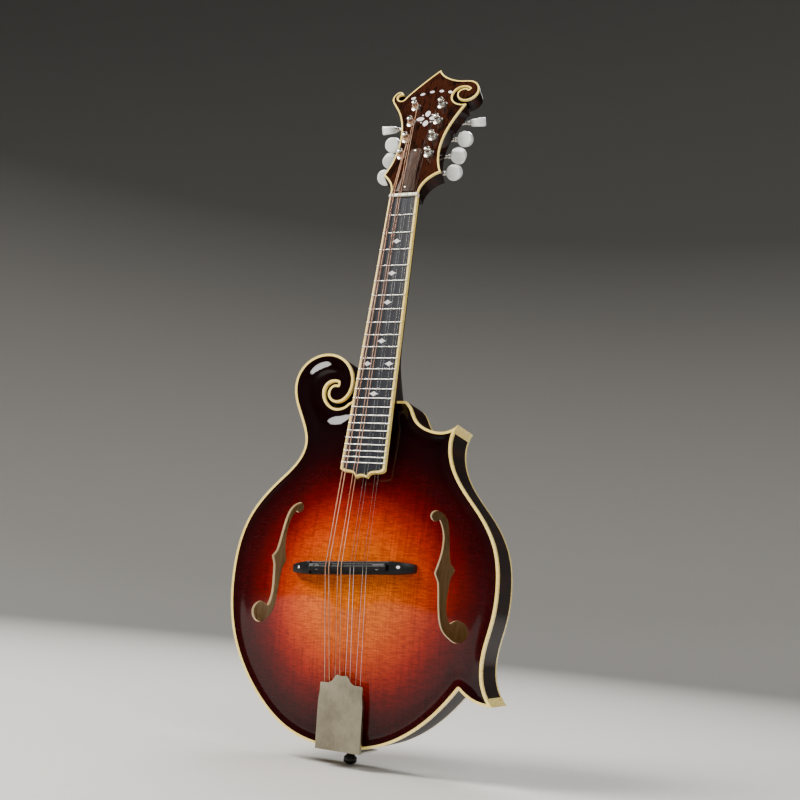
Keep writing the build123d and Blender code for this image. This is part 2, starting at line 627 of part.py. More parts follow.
def build_tailpiece():
    """Folded base with string hooks, and the sliding cover with its crown edge."""
    face = TAIL - 0.2
    top = sheet_profile([(face - 1.2, 0.7), (-114, 6.0), (-114, 7.0), (face - 1.2, 1.7)], TAIL_HALF)
    drop = box(-TAIL_HALF, TAIL_HALF, face - 1.2, face, -35, 1.2)
    base = top + drop
    walls = sheet_profile([(-152, 1.2), (-116, 5.9), (-116, 10.4), (-152, 6.8)], TAIL_HALF)
    walls = walls - box(-TAIL_HALF + SHEET, TAIL_HALF - SHEET, -170, -100, -5, 20)
    base = base + walls
    for x in hook_places():
        base = base + rod((x, HOOK_AT, 5.5), (x, HOOK_AT, HOOK_LIFT + 1.4), 0.7)
    middle = -BODY_DEPTH / 2
    base = base - rod((0, TAIL - 5, middle), (0, TAIL, middle), PIN_SHANK)
    nodes["tailpiece_base"] = BODY * base
    half = TAIL_HALF + 1.4
    back = TAIL - 1.2
    front = COVER_FRONT
    crown = outline([
        [(-half, back), (half, back)],
        [(half, back), (half - 0.6, front)],
        [(half - 0.6, front), (12, front), (8.5, front + 2), (4.5, front + 7.6), (0, front + 6.6),
         (-4.5, front + 7.6), (-8.5, front + 2), (-12, front), (0.6 - half, front)],
        [(0.6 - half, front), (-half, back)],
    ])
    skin = sheet_profile([
        (-160, cover_plane(-160)), (-85, cover_plane(-85)),
        (-85, cover_plane(-85) + COVER_SHEET), (-160, cover_plane(-160) + COVER_SHEET),
    ], 30)
    cover = slab(crown, -10, 30) & skin
    flange = sheet_profile([
        (back, cover_plane(back) - COVER_SIDE), (front - 1, cover_plane(front) - COVER_SIDE),
        (front - 1, cover_plane(front) + 0.3), (back, cover_plane(back) + 0.3),
    ], half)
    flange = flange & slab(crown, -10, 30)
    inner = box(-half + 0.95, half - 0.95, -170, -80, -10, 40)
    cover = cover + (flange - inner)
    nodes["tailpiece_cover"] = BODY * cover
    pin = rod((0, TAIL - 1.4, middle), (0, TAIL + 17, middle), PIN_SHANK)
    pin = pin + rod((0, TAIL - 2.8, middle), (0, TAIL - 1.4, middle), 5.4)
    neck_end = TAIL - PIN_REACH + PIN_LAND / 2
    pin = pin + rod((0, neck_end, middle), (0, TAIL - 2.8, middle), PIN_NECK)
    head_end = TAIL - PIN_REACH - PIN_LAND / 2
    pin = pin + rod((0, head_end, middle), (0, neck_end, middle), PIN_HEAD)
    dome = Pos(0, head_end + 6.3, middle) * Sphere(8.53)
    dome = dome & box(-9, 9, head_end - 5, head_end, middle - 9, middle + 9)
    nodes["end_pin"] = BODY * (pin + dome)


# ---- strings ---------------------------------------------------------------
def hook_places():
    """Across positions of the eight hooks."""
    return [TAIL_PAIR * (i - 3.5) for i in range(8)]


# post row of each string, bass to treble: the course nearest the middle uses the upper posts
STRING_POSTS = [
    ("bass", 0), ("bass", 1), ("bass", 2), ("bass", 3),
    ("treble", 3), ("treble", 2), ("treble", 1), ("treble", 0),
]


def string_route(index):
    """Hook, saddle, nut and post points of one string, and its radius."""
    course = index // 2
    turn = -0.5 if index % 2 == 0 else 0.5
    radius = STRING_D[course] / 2
    hook = BODY.from_local_coords((hook_places()[index], HOOK_AT + 1.2, HOOK_LIFT))
    over = BRIDGE_COURSE[course] + turn * BRIDGE_PAIR
    crest = BRIDGE_BACK + over * math.tan(math.radians(BRIDGE_TURN))
    saddle = BODY.from_local_coords((over, crest, SADDLE_TOP + radius))
    nut = NECK.from_local_coords((NUT_COURSE[course] + turn * NUT_PAIR, 2.0, 1.1 + radius))
    side, row = STRING_POSTS[index]
    inner = POST_X - POST_WAIST - radius - FIT
    post_x = -inner if side == "bass" else inner
    post = HEAD.from_local_coords((post_x, POST_FIRST + POST_SPACING * row, 4.4))
    return [hook, saddle, nut, post], radius


def strings():
    """All eight strings, each one bar with mitred bends."""
    solids = []
    for index in range(8):
        points, radius = string_route(index)
        path = Polyline(*points)
        start = Plane(origin=points[0], z_dir=points[1] - points[0])
        solids += sweep(start * Circle(radius), path=path, transition=Transition.RIGHT).solids()
    return solids


def build_strings():
    """The wound and the plain courses."""
    solids = strings()
    nodes["strings_wound"] = Compound(solids[:4])
    nodes["strings_plain"] = Compound(solids[4:])


# ---- small screws ----------------------------------------------------------
def build_screws():
    """Domed screw heads of the truss rod cover, the tuner plates and the tailpiece."""
    heads = []
    for along in (8.6, 57.5):
        heads.append(HEAD * rod((0, along, COVER_THICK), (0, along, COVER_THICK + 0.8), 1.5))
    back = -HEAD_THICKNESS - BACK_PLATE_THICK
    for x in (-POST_X, POST_X):
        for row in range(4):
            along = POST_FIRST + POST_SPACING * row + 6.2
            heads.append(HEAD * rod((x * 1.3, along, back), (x * 1.3, along, back - 0.9), 1.4))
    outside = TAIL - 0.2 - 1.2
    for x, out in ((-13, -9), (13, -9), (0, -31.5)):
        heads.append(BODY * rod((x, outside, out), (x, outside - 1.1, out), 2.0))
    nodes["screws"] = Compound([solid for head in heads for solid in head.solids()])


build_body()
build_neck()
build_headstock()
build_tuners()
build_bridge()
build_tailpiece()
build_strings()
build_screws()

os.makedirs("parts", exist_ok=True)
for name, shape in nodes.items():
    export_step(shape, f"parts/{name}.step")
    print(name, len(shape.solids()), round(shape.volume))
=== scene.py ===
"""Looks of the arch-topped mandolin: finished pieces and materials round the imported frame."""

import math
from bisect import bisect_left
from contextlib import contextmanager

import bmesh
import bpy
from mathutils import Matrix, Vector
from mathutils.geometry import delaunay_2d_cdt
from mathutils.kdtree import KDTree


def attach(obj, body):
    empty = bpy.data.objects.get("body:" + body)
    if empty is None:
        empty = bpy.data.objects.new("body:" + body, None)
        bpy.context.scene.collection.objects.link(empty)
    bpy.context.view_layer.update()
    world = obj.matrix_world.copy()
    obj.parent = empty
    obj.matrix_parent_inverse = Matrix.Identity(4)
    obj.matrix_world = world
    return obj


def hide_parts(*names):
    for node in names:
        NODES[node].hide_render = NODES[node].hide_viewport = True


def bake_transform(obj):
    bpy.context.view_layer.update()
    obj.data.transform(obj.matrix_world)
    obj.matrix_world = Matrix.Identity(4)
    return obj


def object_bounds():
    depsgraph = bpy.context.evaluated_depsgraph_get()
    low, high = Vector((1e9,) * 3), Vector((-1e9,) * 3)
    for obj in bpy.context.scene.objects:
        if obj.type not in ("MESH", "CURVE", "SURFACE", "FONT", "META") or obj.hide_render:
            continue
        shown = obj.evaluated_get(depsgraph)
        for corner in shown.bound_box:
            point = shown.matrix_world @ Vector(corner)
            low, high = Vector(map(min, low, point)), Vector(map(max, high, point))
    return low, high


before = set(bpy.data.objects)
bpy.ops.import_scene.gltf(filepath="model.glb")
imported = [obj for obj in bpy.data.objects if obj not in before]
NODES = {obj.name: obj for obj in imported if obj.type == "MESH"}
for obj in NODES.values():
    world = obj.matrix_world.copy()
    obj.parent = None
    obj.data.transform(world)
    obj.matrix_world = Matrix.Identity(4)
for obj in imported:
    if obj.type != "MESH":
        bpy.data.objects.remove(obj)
cad_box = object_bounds()


# ---- working planes, as in the CAD source: x across, y along, z out of the face ----
MM = 0.001
NECK_RISE = math.radians(5.5)
HEAD_RISE = math.radians(19.5)
SCALE_LENGTH = 352.4
BOARD_LIFT = 27.5  # fingerboard plane above the rim plane at the bridge
FACE_Y = -22.5  # rim plane
BRIDGE_Z = 164.5
BODY_DEPTH = 45.0


def moved(x, y, z):
    return Matrix.Translation((x, y, z))


def spun(degrees, axis):
    return Matrix.Rotation(math.radians(degrees), 4, axis)


def working_plane(origin, rise):
    """Matrix from local millimetres to the row frame in metres."""
    place = Matrix((
        (1, 0, 0, origin[0]),
        (0, math.sin(rise), -math.cos(rise), origin[1]),
        (0, math.cos(rise), math.sin(rise), origin[2]),
        (0, 0, 0, 1),
    ))
    return Matrix.Scale(MM, 4) @ place


def millimetres(matrix, point):
    """A local point's place in the row frame, in millimetres."""
    return (matrix @ Vector(point)) / MM


BODY = working_plane((0, FACE_Y, BRIDGE_Z), 0)
NUT_PLACE = (0, SCALE_LENGTH * math.cos(NECK_RISE), BOARD_LIFT - SCALE_LENGTH * math.sin(NECK_RISE))
NECK = working_plane(millimetres(BODY, NUT_PLACE), NECK_RISE)
HEAD = working_plane(millimetres(NECK, (0, 3.0, -0.5)), HEAD_RISE)

# tuners, bridge and strings, in millimetres and degrees
POST_X = 14.2
POST_FIRST = 52.3
POST_SPACING = 23.0
GEAR_OUT = -19.8  # middle of the gears, below the headstock's face
WORM_DROP = 7.7  # from a post down to its worm shaft
BUTTON_X = [36.5, 36.5, 39.0, 48.5]
BUTTON_TURN = [49, 73, 43, 139]
SIDES = ((-1, "bass"), (1, "treble"))
SADDLE_TOP = 31.0  # above the rim plane
STRING_D = [1.00, 0.66, 0.38, 0.27]  # diameters, one for each course
NUT_COURSE = [-10.75, -3.6, 3.6, 10.75]
SLOT_FLOOR = 1.1  # of the nut's slots, above the board
BRIDGE_COURSE = [-17.2, -5.7, 5.9, 17.5]
NUT_PAIR = 2.1  # spacing inside a course, at the nut, bridge and tailpiece
BRIDGE_PAIR = 3.2
TAIL_PAIR = 4.57
HOOK_AT = -122.0
HOOK_LIFT = 7.4
TAIL = -154.5  # the body's lower end


# ---- materials ----
def rgb(red, green, blue):
    """A display colour, 0 to 255, as the shader's linear colour."""
    levels = [c / 255 for c in (red, green, blue)]
    return (*[c / 12.92 if c <= 0.04045 else ((c + 0.055) / 1.055) ** 2.4 for c in levels], 1.0)


WHITE = (255, 255, 255)


class Look:
    """A Principled material in the making, textured by the object's own coordinates in metres."""

    def __init__(self, name, **sockets):
        self.material = bpy.data.materials.new(name)
        self.material.use_nodes = True
        self.tree = self.material.node_tree
        self.shader = self.tree.nodes["Principled BSDF"]
        self.place = self.node("TexCoord").outputs["Object"]
        for socket, value in sockets.items():
            self.set(self.shader.inputs[socket.replace("_", " ")], value)

    def set(self, socket, value):
        if isinstance(value, bpy.types.NodeSocket):
            self.tree.links.new(value, socket)
        else:
            socket.default_value = value

    def node(self, kind, inputs=None, **settings):
        made = self.tree.nodes.new("ShaderNode" + kind)
        for setting, value in settings.items():
            setattr(made, setting, value)
        for socket, value in (inputs or {}).items():
            self.set(made.inputs[socket], value)
        return made

    def scaled(self, scale, shift=(0, 0, 0), source=None):
        inputs = {"Vector": source or self.place, "Scale": scale, "Location": shift}
        return self.node("Mapping", inputs).outputs[0]

    def noise(self, scale, detail=4.0, rough=0.55, warp=0.0, source=None):
        """Noise whose cells are 1 / scale metres along each axis."""
        inputs = {"Vector": self.scaled(scale, source=source), "Scale": 1.0}
        inputs |= {"Detail": detail, "Roughness": rough, "Distortion": warp}
        return self.node("TexNoise", inputs).outputs[0]

    def math(self, operation, a, b=0.5):
        return self.node("Math", {0: a, 1: b}, operation=operation).outputs[0]

    def span(self, value, low, high, to_low=0.0, to_high=1.0):
        """The value's stretch from low to high, drawn out to another range."""
        inputs = {0: value, 1: low, 2: high, 3: to_low, 4: to_high}
        return self.node("MapRange", inputs).outputs[0]

    def ramp(self, value, *stops):
        """A colour for each value, from stops of (place, display colour)."""
        made = self.node("ValToRGB", {0: value})
        band = made.color_ramp
        while len(band.elements) < len(stops):
            band.elements.new(1.0)
        for element, (place, colour) in zip(band.elements, stops):
            element.position = place
            element.color = rgb(*colour)
        return made.outputs[0]

    def mix(self, share, a, b, blend="MIX"):
        made = self.node("Mix", data_type="RGBA", blend_type=blend)
        for index, value in ((0, share), (6, a), (7, b)):
            self.set(made.inputs[index], value)
        return made.outputs[2]

    def shaded(self, colour, share, value, low, high, dark):
        """The colour, darkened where the value falls from high to low."""
        shade = self.ramp(value, (low, dark), (high, WHITE))
        return self.mix(share, colour, shade, "MULTIPLY")

    def bump(self, height, distance, strength):
        inputs = {"Height": height, "Distance": distance, "Strength": strength}
        return self.node("Bump", inputs).outputs[0]

    def done(self, colour, roughness, *normal):
        for socket, value in zip(("Base Color", "Roughness", "Normal"), (colour, roughness, *normal)):
            self.set(self.shader.inputs[socket], value)
        return self.material


BURST_MIDDLE = (BRIDGE_Z - 25) * MM
BURST_REACH = 0.150  # metres from the middle to where the burst is darkest
MIDDLING = (0.3, 0.7)  # where a noise's values mostly lie


def lacquered(name, gloss=0.55):
    return Look(name, Coat_Weight=gloss, Coat_Roughness=0.04, Coat_IOR=1.5, Specular_IOR_Level=0.0)


def burst_distance(look, waviness):
    """Distance from the middle of the sunburst, as a share of its reach, with a soft wander."""
    flat = look.scaled((1, 0, 1), shift=(0, 0, -BURST_MIDDLE))
    radius = look.node("VectorMath", {0: flat}, operation="LENGTH").outputs["Value"]
    wander = look.math("MULTIPLY", look.noise((11, 11, 11), detail=2), waviness)
    return look.math("DIVIDE", look.math("ADD", radius, wander), BURST_REACH + waviness / 2)


def spruce_sunburst():
    look = lacquered("spruce_sunburst")
    burst = look.ramp(
        burst_distance(look, 0.012),
        (0.00, (226, 118, 4)), (0.28, (216, 98, 2)), (0.42, (192, 64, 2)),
        (0.53, (150, 26, 2)), (0.62, (100, 6, 2)), (0.73, (58, 2, 4)),
        (0.86, (30, 1, 4)), (1.00, (17, 1, 4)),
    )
    grain = look.noise((1100, 60, 9), detail=3, rough=0.6)
    silk = look.noise((150, 100, 900), detail=2, warp=0.9)
    colour = look.shaded(burst, 0.55, grain, 0.35, 0.55, (176, 150, 130))
    colour = look.shaded(colour, 0.65, silk, 0.40, 0.60, (176, 140, 108))
    colour = look.shaded(colour, 0.6, look.noise((35, 35, 22)), 0.3, 0.7, (225, 215, 210))
    rough = look.span(look.noise((24, 24, 24)), *MIDDLING, 0.30, 0.48)
    return look.done(colour, rough, look.bump(grain, 0.00006, 0.35))


def flamed_maple(name, colours, flame, burst=False, gloss=0.55):
    """Curly maple: bands of flame across the grain under tinted lacquer."""
    look = lacquered(name, gloss)
    split = look.node("SeparateXYZ", {0: look.place})
    across = look.math("ABSOLUTE", split.outputs[0])
    lean = look.math("ADD", split.outputs[2], look.math("MULTIPLY", across, 0.28))
    mirrored = look.node("CombineXYZ", {0: across, 1: split.outputs[1], 2: lean}).outputs[0]
    bands = look.noise(flame, detail=3, rough=0.5, warp=0.35, source=mirrored)
    base = look.ramp(bands, (0.34, colours[0]), (0.52, colours[1]), (0.68, colours[2]))
    pores = look.noise((1400, 1400, 60), detail=3)
    colour = look.shaded(base, 0.5, pores, 0.35, 0.55, (190, 175, 165))
    if burst:
        shade = look.ramp(
            burst_distance(look, 0.014),
            (0.25, WHITE), (0.55, (180, 96, 66)), (0.75, (62, 18, 18)), (0.95, (20, 4, 6)),
        )
        colour = look.mix(1.0, colour, shade, "MULTIPLY")
    rough = look.span(bands, *MIDDLING, 0.28, 0.42)
    return look.done(colour, rough, look.bump(bands, 0.0001, 0.15))


def raw_wood():
    look = Look("raw_inner_wood", Specular_IOR_Level=0.25)
    grain = look.noise((420, 420, 12), detail=5, rough=0.65, warp=0.2)
    colour = look.ramp(
        grain, (0.30, (224, 188, 138)), (0.52, (246, 220, 176)), (0.72, (252, 236, 202)),
    )
    colour = look.shaded(colour, 0.5, look.noise((1600, 1600, 70)), 0.30, 0.46, (150, 120, 90))
    return look.done(colour, look.span(grain, *MIDDLING, 0.55, 0.75), look.bump(grain, 0.0001, 0.4))


def ivoroid():
    look = Look("ivoroid", Coat_Weight=0.5, Coat_Roughness=0.08, Specular_IOR_Level=0.45)
    lines = look.noise((900, 240, 900), detail=4, rough=0.6, warp=0.4)
    colour = look.ramp(
        lines, (0.32, (238, 204, 100)), (0.50, (252, 226, 128)), (0.70, (255, 238, 156)),
    )
    colour = look.shaded(colour, 0.8, look.noise((28, 28, 28)), 0.35, 0.65, (246, 232, 206))
    return look.done(colour, look.span(lines, *MIDDLING, 0.22, 0.36), look.bump(lines, 0.00004, 0.3))


def ebony(name, dark, light, rough):
    look = Look(name, Specular_IOR_Level=0.14, Coat_Weight=0.0)
    grain = look.noise((700, 700, 26), detail=6, rough=0.7, warp=0.3)
    colour = look.ramp(grain, (0.30, dark), (0.60, light), (0.80, dark))
    pores = look.noise((2600, 2600, 170), detail=3, rough=0.7)
    colour = look.shaded(colour, 0.7, pores, 0.34, 0.46, (90, 90, 90))
    return look.done(colour, look.span(grain, *MIDDLING, *rough), look.bump(pores, 0.00008, 0.4))


def rosewood():
    look = lacquered("rosewood_veneer")
    lines = look.noise((420, 90, 16), detail=6, rough=0.72, warp=1.4)
    cloud = look.noise((60, 60, 34), detail=4, rough=0.6, warp=1.0)
    figure = look.math("ADD", look.math("MULTIPLY", lines, 0.6), look.math("MULTIPLY", cloud, 0.4))
    colour = look.ramp(
        figure,
        (0.38, (8, 4, 3)), (0.46, (24, 11, 7)), (0.54, (58, 26, 13)), (0.64, (26, 11, 7)),
    )
    pores = look.noise((2200, 400, 110), detail=3)
    colour = look.shaded(colour, 0.6, pores, 0.32, 0.44, (60, 50, 45))
    return look.done(colour, 0.3, look.bump(lines, 0.00005, 0.3))


def cover_wood():
    look = Look("cover_wood", Coat_Weight=0.1, Coat_Roughness=0.2, Specular_IOR_Level=0.1)
    lines = look.noise((1500, 200, 20), detail=5, rough=0.65, warp=0.5)
    colour = look.ramp(lines, (0.32, (30, 19, 15)), (0.5, (62, 44, 36)), (0.66, (98, 76, 64)))
    return look.done(colour, look.span(lines, *MIDDLING, 0.3, 0.5), look.bump(lines, 0.00008, 0.4))


def pearl(name, cell, tints, gloss=0.12):
    """Shell or pearl plastic: overlapping clouds of pale tints with a deep shine."""
    look = Look(name, Coat_Weight=0.8, Coat_Roughness=0.05, Sheen_Weight=0.05, Specular_IOR_Level=0.7)
    warp = look.noise((cell * 0.7,) * 3, detail=3)
    inputs = {"Vector": look.scaled((cell,) * 3), "Scale": 1.0, "Smoothness": 0.9}
    swirl = look.node("TexVoronoi", inputs, feature="SMOOTH_F1").outputs["Distance"]
    mixed = look.math("ADD", look.math("MULTIPLY", swirl, 0.7), look.math("MULTIPLY", warp, 0.5))
    stops = [(0.25 + 0.6 * i / (len(tints) - 1), tint) for i, tint in enumerate(tints)]
    return look.done(look.ramp(mixed, *stops), gloss, look.bump(mixed, 0.00006, 0.25))


def metal(name, colour, dull, rough, streak=(900, 900, 900), patina=70, wear=0.6):
    """Plated or bare metal, with tarnish clouds and, if asked for, brushed streaks."""
    look = Look(name, Metallic=1.0)
    cloud = look.noise((patina,) * 3, detail=6, rough=0.62)
    tone = look.ramp(cloud, (0.34, dull), (0.66, colour))
    tone = look.mix(wear, rgb(*colour), tone)
    grain = look.noise(streak, detail=5, rough=0.7)
    tone = look.shaded(tone, 0.35, grain, 0.3, 0.6, (170, 168, 162))
    rough_map = look.span(look.math("ADD", cloud, grain), 0.7, 1.3, rough[1], rough[0])
    return look.done(tone, rough_map, look.bump(grain, 0.00003, 0.35))


WRAP_PITCH = 0.00032  # of the bronze wire round the wound strings


def wound_string():
    """Bronze wrap wire: fine ridges at the wrap's pitch along the string, with painted shade in the grooves
    between them.
    """
    look = Look("wound_bronze", Metallic=1.0)
    inputs = {"Vector": look.scaled((0, 0, 1)), "Scale": 0.5 / WRAP_PITCH / math.pi, "Distortion": 0.0}
    wrap = look.node("TexWave", inputs, wave_type="BANDS", bands_direction="Z").outputs["Fac"]
    age = look.noise((60, 60, 25), detail=3)
    tone = look.ramp(age, (0.35, (204, 152, 120)), (0.65, (238, 194, 160)))
    # painted shade: the colour darkens along the wrap bands, in the grooves between the wraps
    tone = look.shaded(tone, 0.7, wrap, 0.0, 0.6, (150, 128, 112))
    return look.done(tone, look.span(age, *MIDDLING, 0.24, 0.38), look.bump(wrap, 0.00012, 0.8))


def polished_black():
    look = lacquered("end_pin_black")
    grain = look.noise((260, 260, 900), detail=5, rough=0.65)
    colour = look.ramp(grain, (0.35, (14, 13, 13)), (0.65, (34, 31, 30)))
    return look.done(colour, look.span(grain, *MIDDLING, 0.16, 0.3), look.bump(grain, 0.00003, 0.3))


def floor_paper():
    look = Look("floor_paper", Specular_IOR_Level=0.15)
    fibre = look.noise((300, 300, 300), detail=5)
    colour = look.ramp(fibre, (0.3, (206, 203, 198)), (0.7, (212, 210, 206)))
    height = look.node("SeparateXYZ", {0: look.place}).outputs[2]
    # painted shade: the backdrop darkens from 0.1 m up to 2.4 m high, standing in for light falling off up
    # the wall
    colour = look.mix(look.span(height, 0.1, 2.4), colour, rgb(104, 103, 101))
    return look.done(colour, look.span(fibre, *MIDDLING, 0.75, 0.9))


SPRUCE = spruce_sunburst()
BACK_MAPLE = flamed_maple(
    "maple_back", ((128, 38, 6), (186, 74, 10), (226, 116, 26)), (14, 14, 150), burst=True,
)
RIB_MAPLE = flamed_maple(
    "maple_ribs", ((12, 3, 3), (22, 5, 4), (40, 10, 6)), (170, 8, 170), gloss=0.3,
)
NECK_MAPLE = flamed_maple(
    "maple_neck", ((14, 4, 3), (26, 6, 4), (46, 12, 6)), (14, 14, 150), gloss=0.4,
)
RAW_WOOD = raw_wood()
IVOROID = ivoroid()
BOARD_EBONY = ebony("board_ebony", (17, 18, 23), (34, 36, 44), (0.34, 0.5))
BRIDGE_EBONY = ebony("bridge_ebony", (13, 13, 14), (27, 26, 27), (0.26, 0.42))
ROSEWOOD = rosewood()
COVER_WOOD = cover_wood()
PEARL = pearl("pearl_shell", 420, [(206, 222, 216), (240, 240, 234), (228, 216, 222), (250, 250, 246)])
PEARLOID = pearl("pearloid", 330, [(214, 218, 214), (246, 248, 242), (228, 232, 230), (254, 254, 250)])
BONE = pearl("bone", 600, [(222, 212, 184), (240, 232, 208), (230, 222, 196)], gloss=0.3)
FRET_WIRE = metal("fret_wire", (222, 220, 214), (176, 172, 164), (0.12, 0.28))
NICKEL = metal("nickel_plate", (214, 209, 200), (150, 138, 118), (0.10, 0.30))
COVER_NICKEL = metal(
    "brushed_nickel", (166, 159, 140), (112, 105, 88), (0.26, 0.42),
    streak=(1700, 1700, 34), patina=30, wear=0.7,
)
STEEL = metal("bright_steel", (200, 200, 200), (120, 120, 122), (0.16, 0.36))
BRASS = metal("brass", (214, 164, 84), (140, 96, 44), (0.16, 0.36))
BRONZE_STRING = wound_string()
PLAIN_STRING = metal(
    "plain_string", (216, 216, 214), (150, 150, 150), (0.14, 0.26), streak=(900, 900, 60),
)
PIN_BLACK = polished_black()

NODE_LOOKS = (
    (SPRUCE, "top_plate"),
    (BACK_MAPLE, "back_plate"),
    (RIB_MAPLE, "ribs"),
    (NECK_MAPLE, "neck"),
    (RAW_WOOD, "point_blocks head_block tail_block rim_linings tone_bars"),
    (IVOROID, "point_caps top_binding back_binding fingerboard_binding headstock_binding"),
    (BOARD_EBONY, "fingerboard"),
    (BRIDGE_EBONY, "bridge_base bridge_saddle"),
    (ROSEWOOD, "headstock_veneer"),
    (COVER_WOOD, "truss_rod_cover"),
    (PEARL, "fret_markers headstock_inlay"),
    (BONE, "nut"),
    (FRET_WIRE, "frets"),
    (COVER_NICKEL, "tailpiece_cover"),
    (STEEL, "truss_rod height_screw_bass height_screw_treble"),
    (BRASS, "truss_rod_nut"),
    (PIN_BLACK, "end_pin"),
    (BRONZE_STRING, "strings_wound"),
    (PLAIN_STRING, "strings_plain"),
)
looks = {name: look for look, names in NODE_LOOKS for name in names.split()}
for name, node in NODES.items():
    usual = PEARLOID if name.startswith("button_") else NICKEL
    node.data.materials.clear()
    node.data.materials.append(looks.get(name, usual))


# ---- camera, floor and light ----
CAMERA_PLACE = (0.3609, -0.8449, 0.1214)
CAMERA_AZIMUTH = 22.46  # degrees to the treble side of straight ahead
CAMERA_RISE = 12.21  # degrees above level that it looks
CAMERA_ROLL = 5.93
LENS = 45.46


def add_object(name, data):
    made = bpy.data.objects.new(name, data)
    bpy.context.scene.collection.objects.link(made)
    return made


def add_camera():
    data = bpy.data.cameras.new("camera")
    data.lens = LENS
    data.clip_start = 0.01
    camera = add_object("camera", data)
    turn = spun(CAMERA_AZIMUTH, "Z")
    rise = spun(90 + CAMERA_RISE, "X")
    roll = spun(CAMERA_ROLL, "Z")
    camera.matrix_world = Matrix.Translation(CAMERA_PLACE) @ turn @ rise @ roll
    bpy.context.scene.camera = camera


def add_floor():
    """A pale floor that curves up into its backdrop, all the way round, the wall painted darker towards its
    top as shade.
    """
    lowest = cad_box[0].z - 0.0005
    flat, bend, wall = 3.2, 1.6, 4.0  # metres: the level part, the bend's radius and the wall
    profile = [(flat * i / 6, lowest) for i in range(7)]
    for degrees in range(5, 95, 5):
        out, up = polar(bend, math.radians(degrees - 90))
        profile.append((flat + out, lowest + bend + up))
    profile.append((flat + bend, lowest + bend + wall))
    points, faces = turned(profile, 96)
    mesh = bpy.data.meshes.new("floor")
    mesh.from_pydata(points, [], faces)
    mesh.shade_smooth()
    mesh.materials.append(floor_paper())
    add_object("floor", mesh)


def add_area_light(name, place, size, power, warmth=(1.0, 1.0, 1.0)):
    """A square softbox that faces the middle of the mandolin."""
    data = bpy.data.lights.new(name, "AREA")
    data.size = size
    data.energy = power
    data.color = warmth
    light = add_object(name, data)
    light.location = place
    towards = Vector((0.0, 0.0, 0.33)) - Vector(place)
    light.rotation_euler = towards.to_track_quat("-Z", "Y").to_euler()


def add_lights():
    add_area_light("key", (-1.5, -1.5, 2.1), 1.3, 150, (1.0, 0.97, 0.92))
    add_area_light("fill", (1.5, -1.7, 1.5), 1.1, 34, (0.94, 0.97, 1.0))
    add_area_light("top", (0.6, 0.3, 2.3), 1.2, 16)
    add_area_light("back", (-0.5, 1.4, 2.2), 1.2, 36)
    world = bpy.data.worlds.new("studio")
    bpy.context.scene.world = world
    world.use_nodes = True
    sky = world.node_tree.nodes["Background"].inputs
    sky["Color"].default_value = rgb(214, 220, 230)
    sky["Strength"].default_value = 0.07


# ---- mesh building ----
def polar(radius, angle):
    return radius * math.cos(angle), radius * math.sin(angle)


def turned(profile, segments):
    """Points and faces of a profile of (radius, height) turned about the z axis."""
    points, loops = [], []
    for radius, height in profile:
        count = segments if radius > 1e-9 else 1
        loops.append(range(len(points), len(points) + count))
        points += [(*polar(radius, 2 * math.pi * i / segments), height) for i in range(count)]
    faces = []
    for low, high in zip(loops, loops[1:]):
        for i in range(segments):
            j = (i + 1) % segments
            corners = [low[i % len(low)], low[j % len(low)], high[j % len(high)], high[i % len(high)]]
            face = list(dict.fromkeys(corners))
            if len(face) > 2:
                faces.append(face)
    return points, faces


def skin(rows, count):
    """Faces between neighbouring closed rows of points, count to a row."""
    faces = []
    for row in range(0, (rows - 1) * count, count):
        for i in range(count):
            j = (i + 1) % count
            faces.append([row + i, row + j, row + count + j, row + count + i])
    return faces


def smoothed(profile, turns):
    """A profile with its corners rounded by repeated cutting, ends kept."""
    for _ in range(turns):
        cut = [profile[0]]
        for a, b in zip(profile, profile[1:]):
            for share in (0.25, 0.75):
                cut.append(tuple((1 - share) * p + share * q for p, q in zip(a, b)))
        cut.append(profile[-1])
        profile = cut
    return profile


def rings(profile, sides):
    """Round loops along x from a profile of (place, radius)."""
    return [[(x, *polar(radius, 2 * math.pi * k / sides)) for k in range(sides)] for x, radius in profile]


@contextmanager
def edited(mesh):
    """The mesh in bmesh, written back when the work on it is done."""
    shaped = bmesh.new()
    shaped.from_mesh(mesh)
    yield shaped
    shaped.to_mesh(mesh)
    shaped.free()


def face_outwards(mesh):
    with edited(mesh) as shaped:
        bmesh.ops.recalc_face_normals(shaped, faces=shaped.faces)


class Build:
    """Points and faces gathered into one mesh, in local millimetres."""

    def __init__(self):
        self.points = []
        self.faces = []

    def add(self, points, faces, place=Matrix.Identity(4)):
        first = len(self.points)
        self.points += [tuple(place @ Vector(point)) for point in points]
        self.faces += [[first + i for i in face] for face in faces]

    def turn(self, profile, segments, place=Matrix.Identity(4)):
        self.add(*turned(profile, segments), place)

    def loft(self, loops, place=Matrix.Identity(4)):
        """A skin over loops of equal length, with flat ends."""
        count = len(loops[0])
        last = (len(loops) - 1) * count
        ends = [list(reversed(range(count))), list(range(last, last + count))]
        self.add([point for loop in loops for point in loop], skin(len(loops), count) + ends, place)

    def tube(self, route, radius, sides):
        """A round tube along a list of points."""
        route = [Vector(point) for point in route]
        side = (route[1] - route[0]).orthogonal()
        loops = []
        for i, point in enumerate(route):
            ahead = (route[min(i + 1, len(route) - 1)] - route[max(i - 1, 0)]).normalized()
            side = (side - ahead * side.dot(ahead)).normalized()
            other = ahead.cross(side)
            across = (polar(radius, 2 * math.pi * k / sides) for k in range(sides))
            loops.append([point + a * side + b * other for a, b in across])
        self.loft(loops)

    def plate(self, outline, low, high):
        """A flat plate from an outline of (x, y) points between two heights."""
        self.loft([[(x, y, low) for x, y in outline], [(x, y, high) for x, y in outline]])

    def finish(self, name, material, plane, body="root", replaces=(), slot=None, crease=35):
        mesh = bpy.data.meshes.new(name)
        mesh.from_pydata([plane @ Vector(point) for point in self.points], [], self.faces)
        face_outwards(mesh)
        mesh.materials.append(material)
        return settle(add_object(name, mesh), body, replaces, slot, crease)


